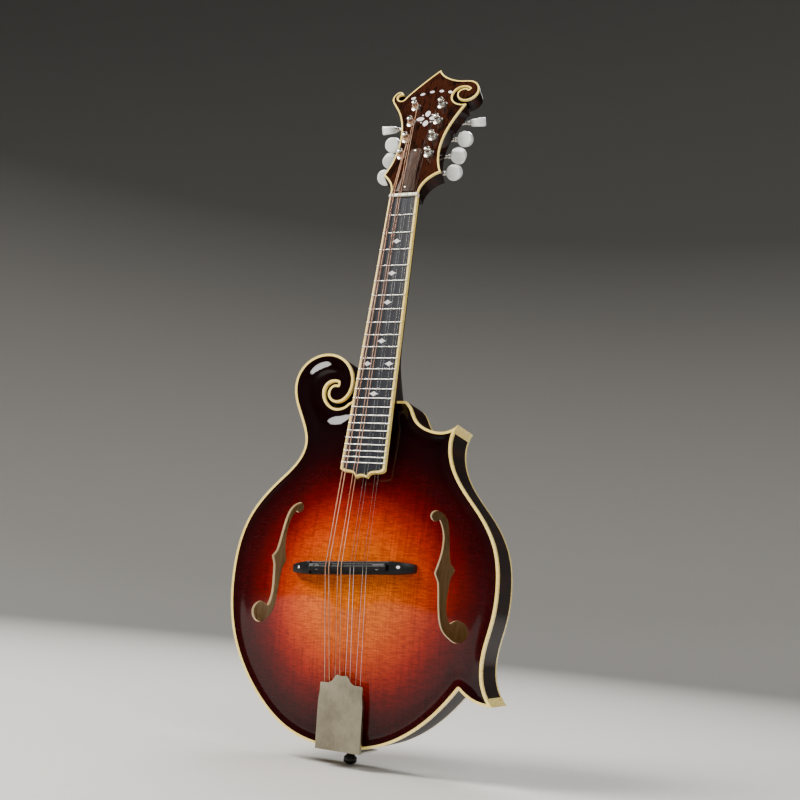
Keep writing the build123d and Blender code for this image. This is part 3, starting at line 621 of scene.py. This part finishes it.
def settle(made, body="root", replaces=(), slot=None, crease=35, bevel=0.0):
    """Smooths, rounds and fastens a finished piece."""
    made.data.shade_smooth()
    if bevel:
        rounding = made.modifiers.new("rounding", "BEVEL")
        rounding.width = bevel * MM
        rounding.segments = 3
        rounding.limit_method = "ANGLE"
        rounding.angle_limit = math.radians(crease)
        rounding.harden_normals = True
    else:
        sharpen(made.data, math.radians(crease))
    if body:
        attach(made, body)
    if replaces:
        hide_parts(*replaces)
    return made


def sharpen(mesh, angle):
    """Marks edges sharper than the angle, so that smooth shading stops there."""
    with edited(mesh) as shaped:
        for edge in shaped.edges:
            edge.smooth = len(edge.link_faces) == 2 and edge.calc_face_angle(0) < angle


def cad_copy(node):
    """A welded copy of a CAD node's mesh in bmesh."""
    shaped = bmesh.new()
    shaped.from_mesh(NODES[node].data)
    bmesh.ops.remove_doubles(shaped, verts=shaped.verts, dist=1e-6)
    return shaped


def copied_object(name, shaped, *materials):
    """A new object from a bmesh, which ends here."""
    mesh = bpy.data.meshes.new(name)
    shaped.to_mesh(mesh)
    shaped.free()
    for material in materials:
        mesh.materials.append(material)
    return add_object(name, mesh)


def rounded(node, material, bevel, slot):
    """A CAD node's shape with its edges eased."""
    shaped = cad_copy(node)
    flat = math.radians(0.6)
    bmesh.ops.dissolve_limit(shaped, angle_limit=flat, verts=shaped.verts, edges=shaped.edges)
    settle(copied_object(node + "_eased", shaped, material), replaces=[node], slot=slot, bevel=bevel)


# ---- carved plates and ribs ----
PLATE = 4.0
TOP_ARCH = 15.5
BACK_ARCH = 13.0
BOWL = 1.15  # how soon the arch levels out
BOWL_CENTRE = Vector((0, -15))
BOWL_EDGE = [
    (0, TAIL), (-51, -146), (-89, -117), (-118, -70), (-127, -14), (-118, 35), (-92, 71),
    (-76, 100), (-48, 136), (0, 150), (48, 136), (77, 100), (93, 68), (120, 30), (126, -12),
    (119, -66), (91, -112), (51, -145),
]
MESH_CELL = 2.4  # spacing of the carved surfaces' points
CHANNEL = 0.9  # depth of the recurve inside the binding
CHANNEL_REACH = 13.0
SCROLL_RISE = 2.2  # height of the ridge along the scroll


def bowl_table():
    """(direction, distance) pairs of the bowl's edge, drawn smoothly through its points."""
    steps = 8
    table = []
    count = len(BOWL_EDGE)
    corners = [Vector(point) - BOWL_CENTRE for point in BOWL_EDGE]
    for i in range(count):
        a, b, c, d = (corners[(i + k - 1) % count] for k in range(4))
        for k in range(steps):
            t = k / steps
            point = 0.5 * ((2 * b) + (c - a) * t + (2 * a - 5 * b + 4 * c - d) * t ** 2
                           + (3 * b - a - 3 * c + d) * t ** 3)
            table.append((math.atan2(point.y, point.x), point.length))
    return sorted(table)


BOWL_TABLE = bowl_table()


def bowl_radius(direction):
    """Distance from the bowl's middle to its edge in one direction."""
    place = bisect_left(BOWL_TABLE, (direction,))
    after = BOWL_TABLE[place % len(BOWL_TABLE)]
    before = BOWL_TABLE[place - 1]
    gap = (after[0] - before[0]) % (2 * math.pi)
    share = ((direction - before[0]) % (2 * math.pi)) / gap if gap > 1e-9 else 0.0
    return before[1] + (after[1] - before[1]) * share


def arch_height(x, y, crown):
    """The carved surface above the rim plane."""
    out = Vector((x, y)) - BOWL_CENTRE
    inside = max(0.0, 1 - out.length / bowl_radius(math.atan2(out.y, out.x)))
    return crown * math.sin(math.pi / 2 * min(inside * BOWL, 1)) ** 2


def eased(value, low, high):
    """0 below low, 1 above high, smooth between."""
    share = min(1.0, max(0.0, (value - low) / (high - low)))
    return share * share * (3 - 2 * share)


def carved_detail(x, y, depth):
    """What the carver adds to the arch: a channel inside the binding and a ridge on the scroll."""
    on_scroll = eased(y, 92, 125) * eased(-x, 18, 34)
    channel = -CHANNEL * math.sin(math.pi * min(depth / CHANNEL_REACH, 1)) ** 2
    ridge = SCROLL_RISE * min(1.0, max(0.0, (depth - 2.5) / 11)) ** 1.4
    return channel * (1 - 0.6 * on_scroll) + ridge * on_scroll


BACK = BODY @ moved(0, 0, -BODY_DEPTH) @ Matrix.Scale(-1, 4, (0, 0, 1))
SHARP = math.radians(50)


def upper_rims(node, plane):
    """The sharp edges round a plate's outer surface, as points and pairs in the plane's units."""
    shaped = cad_copy(node)
    shaped.transform(plane.inverted())
    shaped.normal_update()
    outward = 1 if plane is BODY else -1
    points, index, pairs = [], {}, []
    for edge in shaped.edges:
        if len(edge.link_faces) != 2 or edge.calc_face_angle(0) < SHARP:
            continue
        if max(outward * face.normal.z for face in edge.link_faces) < 0.5:
            continue
        if min(vert.co.z for vert in edge.verts) < -1.0:
            continue
        for vert in edge.verts:
            if vert.index not in index:
                index[vert.index] = len(points)
                points.append(vert.co.copy())
        pairs.append(tuple(index[vert.index] for vert in edge.verts))
    shaped.free()
    return points, pairs


def traced(pairs):
    """Closed loops of point numbers from the pairs that join them, the longest first."""
    joined = {}
    for a, b in pairs:
        joined.setdefault(a, []).append(b)
        joined.setdefault(b, []).append(a)
    loops = []
    left = set(joined)
    while left:
        loop = [left.pop()]
        while True:
            ahead = [i for i in joined[loop[-1]] if i in left]
            if not ahead:
                break
            loop.append(ahead[0])
            left.remove(ahead[0])
        loops.append(loop)
    return sorted(loops, key=len, reverse=True)


def encloses(loop, x, y):
    """Whether a closed loop of flat points goes round a place."""
    inside = False
    for a, b in zip(loop, loop[1:] + loop[:1]):
        if (a.y > y) != (b.y > y) and x < a.x + (b.x - a.x) * (y - a.y) / (b.y - a.y):
            inside = not inside
    return inside


def sampled(points, pairs):
    """A search tree of places along edges, heights left out."""
    step = 0.7
    places = []
    for a, b in pairs:
        start, end = points[a].to_2d(), points[b].to_2d()
        count = max(1, round((end - start).length / step))
        places += [start.lerp(end, k / count) for k in range(count)]
    tree = KDTree(len(places))
    for i, place in enumerate(places):
        tree.insert((place.x, place.y, 0), i)
    tree.balance()
    return tree


def cells(flat, tree):
    """Evenly staggered places within the points' box, clear of the edges in the tree."""
    low = [min(point[k] for point in flat) for k in range(2)]
    high = [max(point[k] for point in flat) for k in range(2)]
    row_height = MESH_CELL * math.sqrt(3) / 2
    for row in range(math.ceil((high[1] - low[1]) / row_height)):
        y = low[1] + row * row_height
        x = low[0] + (MESH_CELL / 2 if row % 2 else 0)
        while x < high[0]:
            if tree.find((x, y, 0))[2] > 0.55 * MESH_CELL:
                yield Vector((x, y))
            x += MESH_CELL


def carved_plate(name, node, plane, crown, outside, slot):
    """A plate rebuilt with a smooth carved surface between its outline and its sound holes."""
    points, pairs = upper_rims(node, plane)
    rim, *holes = traced(pairs)
    rim = set(rim)
    rim_tree = sampled(points, [pair for pair in pairs if pair[0] in rim])
    flat = [point.to_2d() for point in points]
    holes = [[flat[i] for i in hole] for hole in holes]
    flat += list(cells(flat, sampled(points, pairs)))
    made = delaunay_2d_cdt(flat, pairs, [], 2, 1e-4)
    places, faces = made[0], []
    for face in made[2]:
        x, y = (sum(places[i][k] for i in face) / len(face) for k in range(2))
        if not any(encloses(hole, x, y) for hole in holes):
            faces.append(face)
    upper, lower = [], []
    for place in places:
        depth = rim_tree.find((place.x, place.y, 0))[2]
        height = arch_height(place.x, place.y, crown)
        upper.append((place.x, place.y, height + carved_detail(place.x, place.y, depth)))
        lower.append((place.x, place.y, height - PLATE))
    count = len(places)
    border = dict.fromkeys((a, b) for face in faces for a, b in zip(face, face[1:] + face[:1]))
    walls = [(b, a, a + count, b + count) for a, b in border if (b, a) not in border]
    under = [[i + count for i in reversed(face)] for face in faces]
    mesh = bpy.data.meshes.new(name)
    mesh.from_pydata([plane @ Vector(point) for point in upper + lower], [], [*faces, *walls, *under])
    mesh.materials.append(outside)
    mesh.materials.append(RAW_WOOD)
    for i, polygon in enumerate(mesh.polygons):
        polygon.material_index = 0 if i < len(faces) else 1
    face_outwards(mesh)
    settle(add_object(name, mesh), replaces=[node], slot=slot, crease=50)
    return rim_tree


def finished_ribs(rim_tree):
    """The ribs, lacquered outside and bare inside."""
    ribs = copied_object("ribs_finished", cad_copy("ribs"), RIB_MAPLE, RAW_WOOD)
    local = BODY.inverted()
    for polygon in ribs.data.polygons:
        place = local @ polygon.center
        polygon.material_index = int(rim_tree.find((place.x, place.y, 0))[2] < 0.5)
    settle(ribs, replaces=["ribs"], slot="maple_ribs", crease=40)


# ---- strings ----
BRIDGE_TURN = math.radians(4.1)
BRIDGE_BACK = -4.05
STRING_POSTS = [("bass", row) for row in range(4)] + [("treble", row) for row in (3, 2, 1, 0)]
WAIST = 2.5  # the post's radius under the winding
ARRIVAL = 4.4  # height at which a string meets its post
TURNS = 5.0  # most turns of a winding
WINDING_HEIGHT = 1.9  # room for a winding on its post
STRING_GAP = 0.05  # between a string and the post
ROW_MM = Matrix.Scale(MM, 4)


def string_route(index):
    """Hook, saddle, nut and post points of a string in the row frame's millimetres, and its radius."""
    course = index // 2
    turn = -0.5 if index % 2 == 0 else 0.5
    radius = STRING_D[course] / 2
    over = BRIDGE_COURSE[course] + turn * BRIDGE_PAIR
    crest = BRIDGE_BACK + over * math.tan(BRIDGE_TURN)
    side, row = STRING_POSTS[index]
    inner = POST_X - WAIST - radius - STRING_GAP
    return (
        millimetres(BODY, (TAIL_PAIR * (index - 3.5), HOOK_AT + 1.2, HOOK_LIFT)),
        millimetres(BODY, (over, crest, SADDLE_TOP + radius)),
        millimetres(NECK, (NUT_COURSE[course] + turn * NUT_PAIR, 2.0, SLOT_FLOOR + radius)),
        millimetres(HEAD, (-inner if side == "bass" else inner, post_along(row), ARRIVAL)),
        radius,
    )


def post_along(row):
    return POST_FIRST + POST_SPACING * row


def between(start, end, steps):
    return [start.lerp(end, i / steps) for i in range(steps + 1)]


def build_winding(name, material, slot, index, radius):
    """The turns of a string round its post, with its cut end standing out."""
    side, row = STRING_POSTS[index]
    sign = -1 if side == "bass" else 1
    reach = WAIST + radius + STRING_GAP
    turns = min(TURNS, WINDING_HEIGHT / (2 * radius))
    steps = round(turns * 20)
    start = 0.0 if side == "bass" else math.pi
    coil = []
    for i in range(steps + 1):
        turned_by = turns * i / steps
        angle = start - sign * 2 * math.pi * turned_by
        drop = 2.04 * radius * turned_by
        coil.append((*polar(reach, angle), ARRIVAL - drop))
    build = Build()
    build.tube(coil, radius, 8)
    tip = [(*polar(out, -math.pi / 3), height) for out, height in ((1.5, 5.5), (3.4, 5.4), (5.2, 4.9))]
    build.tube(tip, radius * 0.8, 6)
    place = HEAD @ moved(sign * POST_X, post_along(row), 0)
    build.finish(name, material, place, body=f"post_{side}_{row + 1}", slot=slot)


def build_strings():
    """Each string in two spans, either side of the saddle, and its winding on the post."""
    for index in range(8):
        hook, saddle, nut, post, radius = string_route(index)
        material, node, slot = (
            (BRONZE_STRING, "strings_wound", "bronze_string") if index < 4
            else (PLAIN_STRING, "strings_plain", "steel_string")
        )
        spans = (
            ("tail", between(hook, saddle, 10), "root", "saddle", hook, saddle),
            ("playing", between(saddle, nut, 20) + between(nut, post, 4)[1:], "saddle", "root", saddle, nut),
        )
        for part, route, first, last, start, end in spans:
            build = Build()
            build.tube(route, radius, 8)
            span = build.finish(f"string_{index + 1}_{part}", material, ROW_MM, body=None, slot=slot)
            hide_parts(node)
            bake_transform(span)
        build_winding(f"string_{index + 1}_winding", material, slot, index, radius)


# ---- tuners ----
def slotted_head(build, radius, height, slot, place):
    """A domed screw head with a slot across it, standing along z."""
    shoulder = 0.45 * height
    brow = shoulder + 0.6 * (height - shoulder)
    taper = 0.78
    build.turn([(0, 0), (radius, 0), (radius, shoulder), (0, shoulder)], 24, place)
    start = math.asin(slot / 2 / radius)
    for half in (0, math.pi):
        angles = [half + start + (math.pi - 2 * start) * i / 12 for i in range(13)]
        arc = [polar(radius, angle) for angle in angles]
        crown = [(x * taper, math.copysign(max(abs(y) * taper, slot / 2), y)) for x, y in arc]
        build.loft([[(x, y, z) for x, y in outline]
                    for outline, z in ((arc, shoulder), (arc, brow), (crown, height))], place)


GEAR_TEETH = 15
GEAR_HALF = 1.25  # half the gear's thickness
POST_PROFILE = [
    (0, 8.8), (1.9, 8.75), (2.8, 8.3), (3.08, 7.6), (2.9, 6.9), (2.5, 6.4), (2.32, 5.9), (2.32, 3.0),
    (2.6, 2.5), (2.97, 2.3), (2.97, -18.4), (0, -18.4),
]
BUSHING_PROFILE = [
    (3.06, -15.4), (4.6, -15.4), (4.6, -0.02), (5.25, -0.02), (5.3, 0.35), (5.15, 0.8), (4.5, 1.1),
    (4.1, 1.25), (3.9, 1.6), (3.6, 1.7), (3.06, 1.65), (3.06, -15.4),
]
WORM_START, WORM_END = 10.3, 18.2
SHAFT_PROFILE = [(8.0, 1.2), (8.3, 1.48), (10.4, 1.48), (WORM_END, 1.48)]
SHAFT_NECK = [(-12.5, 1.48), (-12.2, 1.3), (-4, 1.3)]  # from the button's middle
FERRULE_PROFILE = [
    (-11.0, 1.7), (-10.6, 2.1), (-9.6, 2.25), (-9.0, 1.9), (-8.4, 2.0), (-7.2, 2.6), (-6.6, 2.7),
]


def gear_outline():
    """The gear's teeth, each a trapezium with eased tips."""
    root, flank, tip = 4.45, 5.2, 5.36
    steps = ((-0.32, root), (-0.17, flank), (-0.09, tip), (0.09, tip), (0.17, flank), (0.32, root))
    outline = []
    for tooth in range(GEAR_TEETH):
        for share, radius in steps:
            outline.append(polar(radius, 2 * math.pi * (tooth + share) / GEAR_TEETH))
    return outline


def button_points():
    """A round knob with an eased rim, thicker at its outer end."""
    radius, half, ease, flare = 7.8, 3.95, 1.5, 0.0844
    profile = [(0.0, half), (3.0, half), (radius - ease - 0.6, half)]
    for i in range(7):
        angle = math.pi / 2 * i / 6
        profile.append((radius - ease + ease * math.sin(angle), half - ease + ease * math.cos(angle)))
    profile += [(r, -z) for r, z in reversed(profile)]
    points, faces = turned(profile, 48)
    return [(x, y, z * (1 + flare * x / half)) for x, y, z in points], faces


def worm_thread():
    """The worm's screw thread along x, as loops round it."""
    root, crest, pitch, sides = 1.6, 2.2, 1.5, 24
    loops = []
    steps = round((WORM_END - WORM_START) / pitch * 12)
    for i in range(steps + 1):
        along = WORM_START + (WORM_END - WORM_START) * i / steps
        fade = min(1.0, 4 * min(i, steps - i) / steps)
        loop = []
        for k in range(sides):
            angle = 2 * math.pi * k / sides
            ridge = max(0.0, math.cos(angle - 2 * math.pi * along / pitch)) ** 1.2
            reach = root + (crest - root) * ridge * fade
            loop.append((along, *polar(reach, angle)))
        loops.append(loop)
    return loops


def build_post(label, row, place):
    """A string post with its gear and the gear's screw."""
    post = Build()
    post.turn(POST_PROFILE[:1] + smoothed(POST_PROFILE[1:10], 2) + POST_PROFILE[10:], 36)
    post.plate(gear_outline(), GEAR_OUT - GEAR_HALF, GEAR_OUT + GEAR_HALF)
    under = moved(0, 0, GEAR_OUT - GEAR_HALF) @ spun(180, "X")
    turn = spun(40 * row + 15, "Z")
    slotted_head(post, 2.05, 0.95, 0.5, under @ turn)
    post.finish(f"tuner_post_{label}", NICKEL, place, f"post_{label}", [f"post_{label}"], slot="nickel")


def build_shaft(label, row, axis):
    """A worm shaft with its knob and ferrule, along the axis plane's x."""
    body = f"worm_{label}"
    reach = BUTTON_X[row]
    shaft = Build()
    shaft.loft(rings(SHAFT_PROFILE + [(reach + x, radius) for x, radius in SHAFT_NECK], 20))
    shaft.loft(worm_thread())
    shaft.finish(f"tuner_worm_{label}", NICKEL, axis, body, [body], slot="nickel")
    turn = spun(BUTTON_TURN[row], "X")
    local = axis @ moved(reach, 0, 0) @ turn
    knob = Build()
    knob.add(*button_points())
    knob.finish(f"tuner_knob_{label}", PEARLOID, local, body, [f"button_{label}"], slot="pearloid")
    ferrule = Build()
    ferrule.loft(rings(FERRULE_PROFILE, 24))
    ferrule.finish(f"knob_ferrule_{label}", NICKEL, local, body, slot="nickel")


def build_tuners():
    """Posts with gears, worm shafts, knobs and bushings."""
    bushings = Build()
    for sign, side in SIDES:
        for row in range(4):
            label = f"{side}_{row + 1}"
            middle = moved(sign * POST_X, post_along(row), 0)
            bushings.turn(BUSHING_PROFILE, 40, middle)
            build_post(label, row, HEAD @ middle)
            start = moved(0, post_along(row) - WORM_DROP, GEAR_OUT)
            build_shaft(label, row, HEAD @ start @ Matrix.Scale(sign, 4, (1, 0, 0)))
    bushings.finish("tuner_bushing_set", NICKEL, HEAD, replaces=["tuner_bushings"], slot="nickel")


# ---- bridge, nut, tailpiece, screws and end pin ----
BRIDGE = BODY @ moved(0, BRIDGE_BACK, 0) @ Matrix.Rotation(BRIDGE_TURN, 4, "Z")
WING_TOP = [  # (along the bridge, height) of a wing's top
    (0, 23.8), (36.5, 23.8), (36.6, 26.1), (38.0, 26.2), (43, 24.9), (48, 23.1), (52.5, 20.9), (57, 17.6),
]
WING_HALF = [  # (along the bridge, half its width)
    (0, 5.5), (40, 5.5), (50, 4.5), (56, 3.7), (57, 3.2),
]
SADDLE_HALF = 35.8
SADDLE_RELIEF = (-30.5, 24.0)  # the stretch along which the saddle's top is cut lower
SADDLE_CREST = [  # (across the saddle, height, 1 where the relief cuts down)
    (-2.7, 29.75, 0), (-1.2, 30.5, 0), (-0.25, 30.93, 0), (0.25, 30.93, 0), (0.7, 30.75, 0),
    (0.85, 30.7, 1), (2.2, 30.3, 1), (2.35, 30.22, 0), (2.8, 30.0, 0),
]


def along_line(table, x):
    """The value at x on a broken line through (x, value) points."""
    for (x0, v0), (x1, v1) in zip(table, table[1:]):
        if x <= x1:
            return v0 + (v1 - v0) * (x - x0) / (x1 - x0)
    return table[-1][1]


def build_bridge_base():
    """Base with sloping wings, its foot on the arch."""
    stations = [0, 12, 24, 36.5, 36.6, 38, 40.5, 43, 45.5, 48, 50, 52.5, 54.5, 55.8, 56.6, 57]
    to_body = BODY.inverted() @ BRIDGE
    loops = []
    for x in [-x for x in reversed(stations[1:])] + stations:
        half = along_line(WING_HALF, abs(x))
        top = along_line(WING_TOP, abs(x))
        loop = [(half - 1.0, top), (half - 0.3, top - 0.3), (half, top - 1.0)]
        loop = [(-y, z) for y, z in reversed(loop)] + loop
        for y in (half, 0, -half):
            spot = to_body @ Vector((x, y, 0))
            loop.append((y, arch_height(spot.x, spot.y, TOP_ARCH) - 0.15))
        loops.append([(x, y, z) for y, z in loop])
    base = Build()
    base.loft(loops)
    base.finish("bridge_base_carved", BRIDGE_EBONY, BRIDGE, replaces=["bridge_base"], slot="ebony", crease=28)


def build_saddle():
    """The crested saddle, with a relief beside the crest and tucked ends."""
    ends = [0, 0.25, 0.8, 2.0]
    stations = [e - SADDLE_HALF for e in ends] + [-32, -31, -30.4, -20, -10, 0, 10, 20, 23.6, 24.2]
    stations += [SADDLE_HALF - e for e in reversed(ends)]
    low, high = SADDLE_RELIEF
    loops = []
    for x in stations:
        tuck = max(0.0, 0.8 - (SADDLE_HALF - abs(x))) * 0.6
        cut = 0.9 if low < x < high else 0.0
        crest = [(y, z - tuck - cut * lowered) for y, z, lowered in SADDLE_CREST]
        near = [(tuck - 3.15, 24.65), (tuck - 3.2, 29.2 - tuck)]
        far = [(3.2 - tuck, 29.4 - tuck), (3.15 - tuck, 24.65)]
        loops.append([(x, y, z) for y, z in near + crest + far])
    saddle = Build()
    saddle.loft(loops)
    saddle.finish(
        "bridge_saddle_carved", BRIDGE_EBONY, BRIDGE, "saddle", ["bridge_saddle"], slot="ebony", crease=28,
    )


def build_bridge_dots():
    """A pearl dot in each wing, lying in its slope."""
    dots = Build()
    for x, stretch in ((-48.5, 0.8), (45.0, 1.3)):
        slope = math.copysign(math.atan2(1.8, 5.0), x)
        place = moved(x, 0.4, along_line(WING_TOP, abs(x)) + 0.02)
        place = place @ Matrix.Rotation(slope, 4, "Y") @ Matrix.Scale(stretch, 4, (1, 0, 0))
        dots.turn([(0, 0.16), (0.9, 0.14), (1.25, 0.03), (1.3, -0.5), (0, -0.5)], 28, place)
    dots.finish("bridge_dots", PEARL, BRIDGE, slot="pearl")


def build_nut():
    """Bone nut with a rounded back and a slot for each string."""
    half, height, foot, steps = 14.3, 1.88, -4.9, 240
    places = []
    for index in range(8):
        _, _, nut, _, radius = string_route(index)
        places.append(((NECK.inverted() @ (nut * MM)).x, radius))
    loops = []
    for i in range(steps + 1):
        x = -half + 2 * half * i / steps
        top = height - 1.2 * max(0.0, abs(x) - half + 0.5) ** 2
        for place, radius in places:
            reach = abs(x - place)
            if reach < radius + 0.12:
                round_slot = math.sqrt(max(0.0, (radius + 0.04) ** 2 - reach ** 2))
                top = min(top, SLOT_FLOOR + radius - round_slot)
        section = ((0.12, top - 0.1), (0.5, top), (1.6, top - 0.05), (2.9, top - 0.4), (3.7, top - 1.0),
                   (3.95, top - 2.0))
        loops.append([(x, y, z) for y, z in ((0.12, foot), *section, (3.95, foot))])
    nut = Build()
    nut.loft(loops)
    nut.finish("nut_slotted", BONE, NECK, replaces=["nut"], slot="bone", crease=40)


COVER_BACK = TAIL - 1.2
COVER_FRONT = -101.0
COVER_HALF = 20.8
COVER_SHEET = 0.85  # thickness of the pressed sheet
COVER_FOLD = 1.1  # radius of the bend into the flanges
FLANGE_END = -112.5
COVER_CREST = [  # half of the crown's scalloped front edge
    (0, 6.6), (2.2, 6.9), (4.5, 7.4), (5.6, 6.6), (8.0, 2.6), (10.0, 0.8), (12, 0.1), (18.6, 0), (20.3, -0.9),
]


def cover_height(along):
    bend = max(0.0, along - FLANGE_END)
    return 7.5 + 0.1115 * (along - TAIL) - 0.035 * bend


def cover_row(share):
    """A closed loop round the cover's sheet, at a share of the way from its back to its front edge."""
    middle = COVER_BACK + share * (COVER_FRONT - COVER_BACK)
    folded = 1 - eased(middle, FLANGE_END - 1.2, FLANGE_END + 1.2)
    half = COVER_HALF - 0.9 * (1 - folded)
    drop = 0.4 + 3.1 * folded
    side = [(half, -drop)]
    for degrees in (0, 22, 45, 68, 90):
        out, up = polar(COVER_FOLD, math.radians(degrees))
        side.append((half - COVER_FOLD + out, COVER_SHEET - COVER_FOLD + up))
    side += [(half * part, COVER_SHEET) for part in (0.8, 0.6, 0.45, 0.3, 0.22, 0.1, 0)]
    outer = side + [(-x, z) for x, z in reversed(side[:-1])]
    inset = (half - COVER_SHEET) / half
    inner = [(x * inset, max(-drop, min(z - COVER_SHEET, 0))) for x, z in outer]
    row = []
    for x, z in outer + inner[::-1]:
        front = COVER_FRONT + along_line(COVER_CREST, abs(x))
        y = COVER_BACK + share * (front - COVER_BACK)
        row.append((x, y, cover_height(y) + z))
    return row


def build_tailpiece_cover():
    """Pressed sheet with folded flanges, a scalloped crown and a bend below it."""
    steps = 14
    rows = [cover_row(i / steps) for i in range(steps + 1)]
    count = len(rows[0])
    faces = skin(len(rows), count)
    for first in (0, steps * count):
        faces += [[first + i, first + i + 1, first + count - 2 - i, first + count - 1 - i]
                  for i in range(count // 2 - 1)]
    cover = Build()
    cover.add([point for row in rows for point in row], faces)
    cover.finish("tailpiece_cover_pressed", COVER_NICKEL, BODY, "tailpiece_cover", ["tailpiece_cover"],
                 slot="brushed_nickel", crease=50)


def build_screws():
    """Slotted heads of the truss rod cover, the tuner plates and the tailpiece."""
    heads = Build()
    on_head = BODY.inverted() @ HEAD
    for along in (8.6, 57.5):
        slotted_head(heads, 1.5, 0.78, 0.35, on_head @ moved(0, along, 1.2))
    for sign, _ in SIDES:
        for row in range(4):
            place = on_head @ moved(sign * 18.46, post_along(row) + 6.2, -16.7)
            turn = spun(180, "X") @ spun(50 * row, "Z")
            slotted_head(heads, 1.4, 0.88, 0.35, place @ turn)
    for x, out in ((-13, -9), (13, -9), (0, -31.5)):
        place = moved(x, TAIL - 1.4, out) @ spun(90, "X")
        turn = spun(30 + x, "Z")
        slotted_head(heads, 2.0, 1.08, 0.45, place @ turn)
    heads.finish("screw_heads", NICKEL, BODY, replaces=["screws"], slot="nickel")


END_PIN_PROFILE = [
    (0, 0.2), (2.9, 0.2), (2.9, 1.5), (5.3, 1.5), (5.4, 2.0), (5.2, 2.6), (4.2, 2.9), (3.4, 3.6), (3.2, 4.6),
    (3.5, 5.8), (4.4, 6.8), (5.4, 7.7), (5.72, 8.6), (5.75, 10.2), (5.72, 11.4), (5.3, 12.3), (4.4, 13.0),
    (4.0, 13.1), (3.4, 13.6), (2.0, 14.0), (0, 14.2),
]


def build_end_pin():
    pin = Build()
    place = moved(0, TAIL, -BODY_DEPTH / 2) @ spun(90, "X")
    pin.turn(END_PIN_PROFILE, 48, place)
    pin.finish("end_pin_turned", PIN_BLACK, BODY, replaces=["end_pin"], slot="pin_black", crease=50)


add_camera()
add_floor()
add_lights()
body_rim = carved_plate("top_plate_carved", "top_plate", BODY, TOP_ARCH, SPRUCE, "spruce_sunburst")
carved_plate("back_plate_carved", "back_plate", BACK, BACK_ARCH, BACK_MAPLE, "maple_back")
finished_ribs(body_rim)
build_strings()
build_tuners()
build_bridge_base()
build_saddle()
build_bridge_dots()
build_nut()
build_tailpiece_cover()
build_screws()
build_end_pin()
rounded("tuner_plates", NICKEL, 0.25, slot="nickel")
rounded("truss_rod_cover", COVER_WOOD, 0.35, slot="cover_wood")
rounded("tailpiece_base", NICKEL, 0.15, slot="nickel")
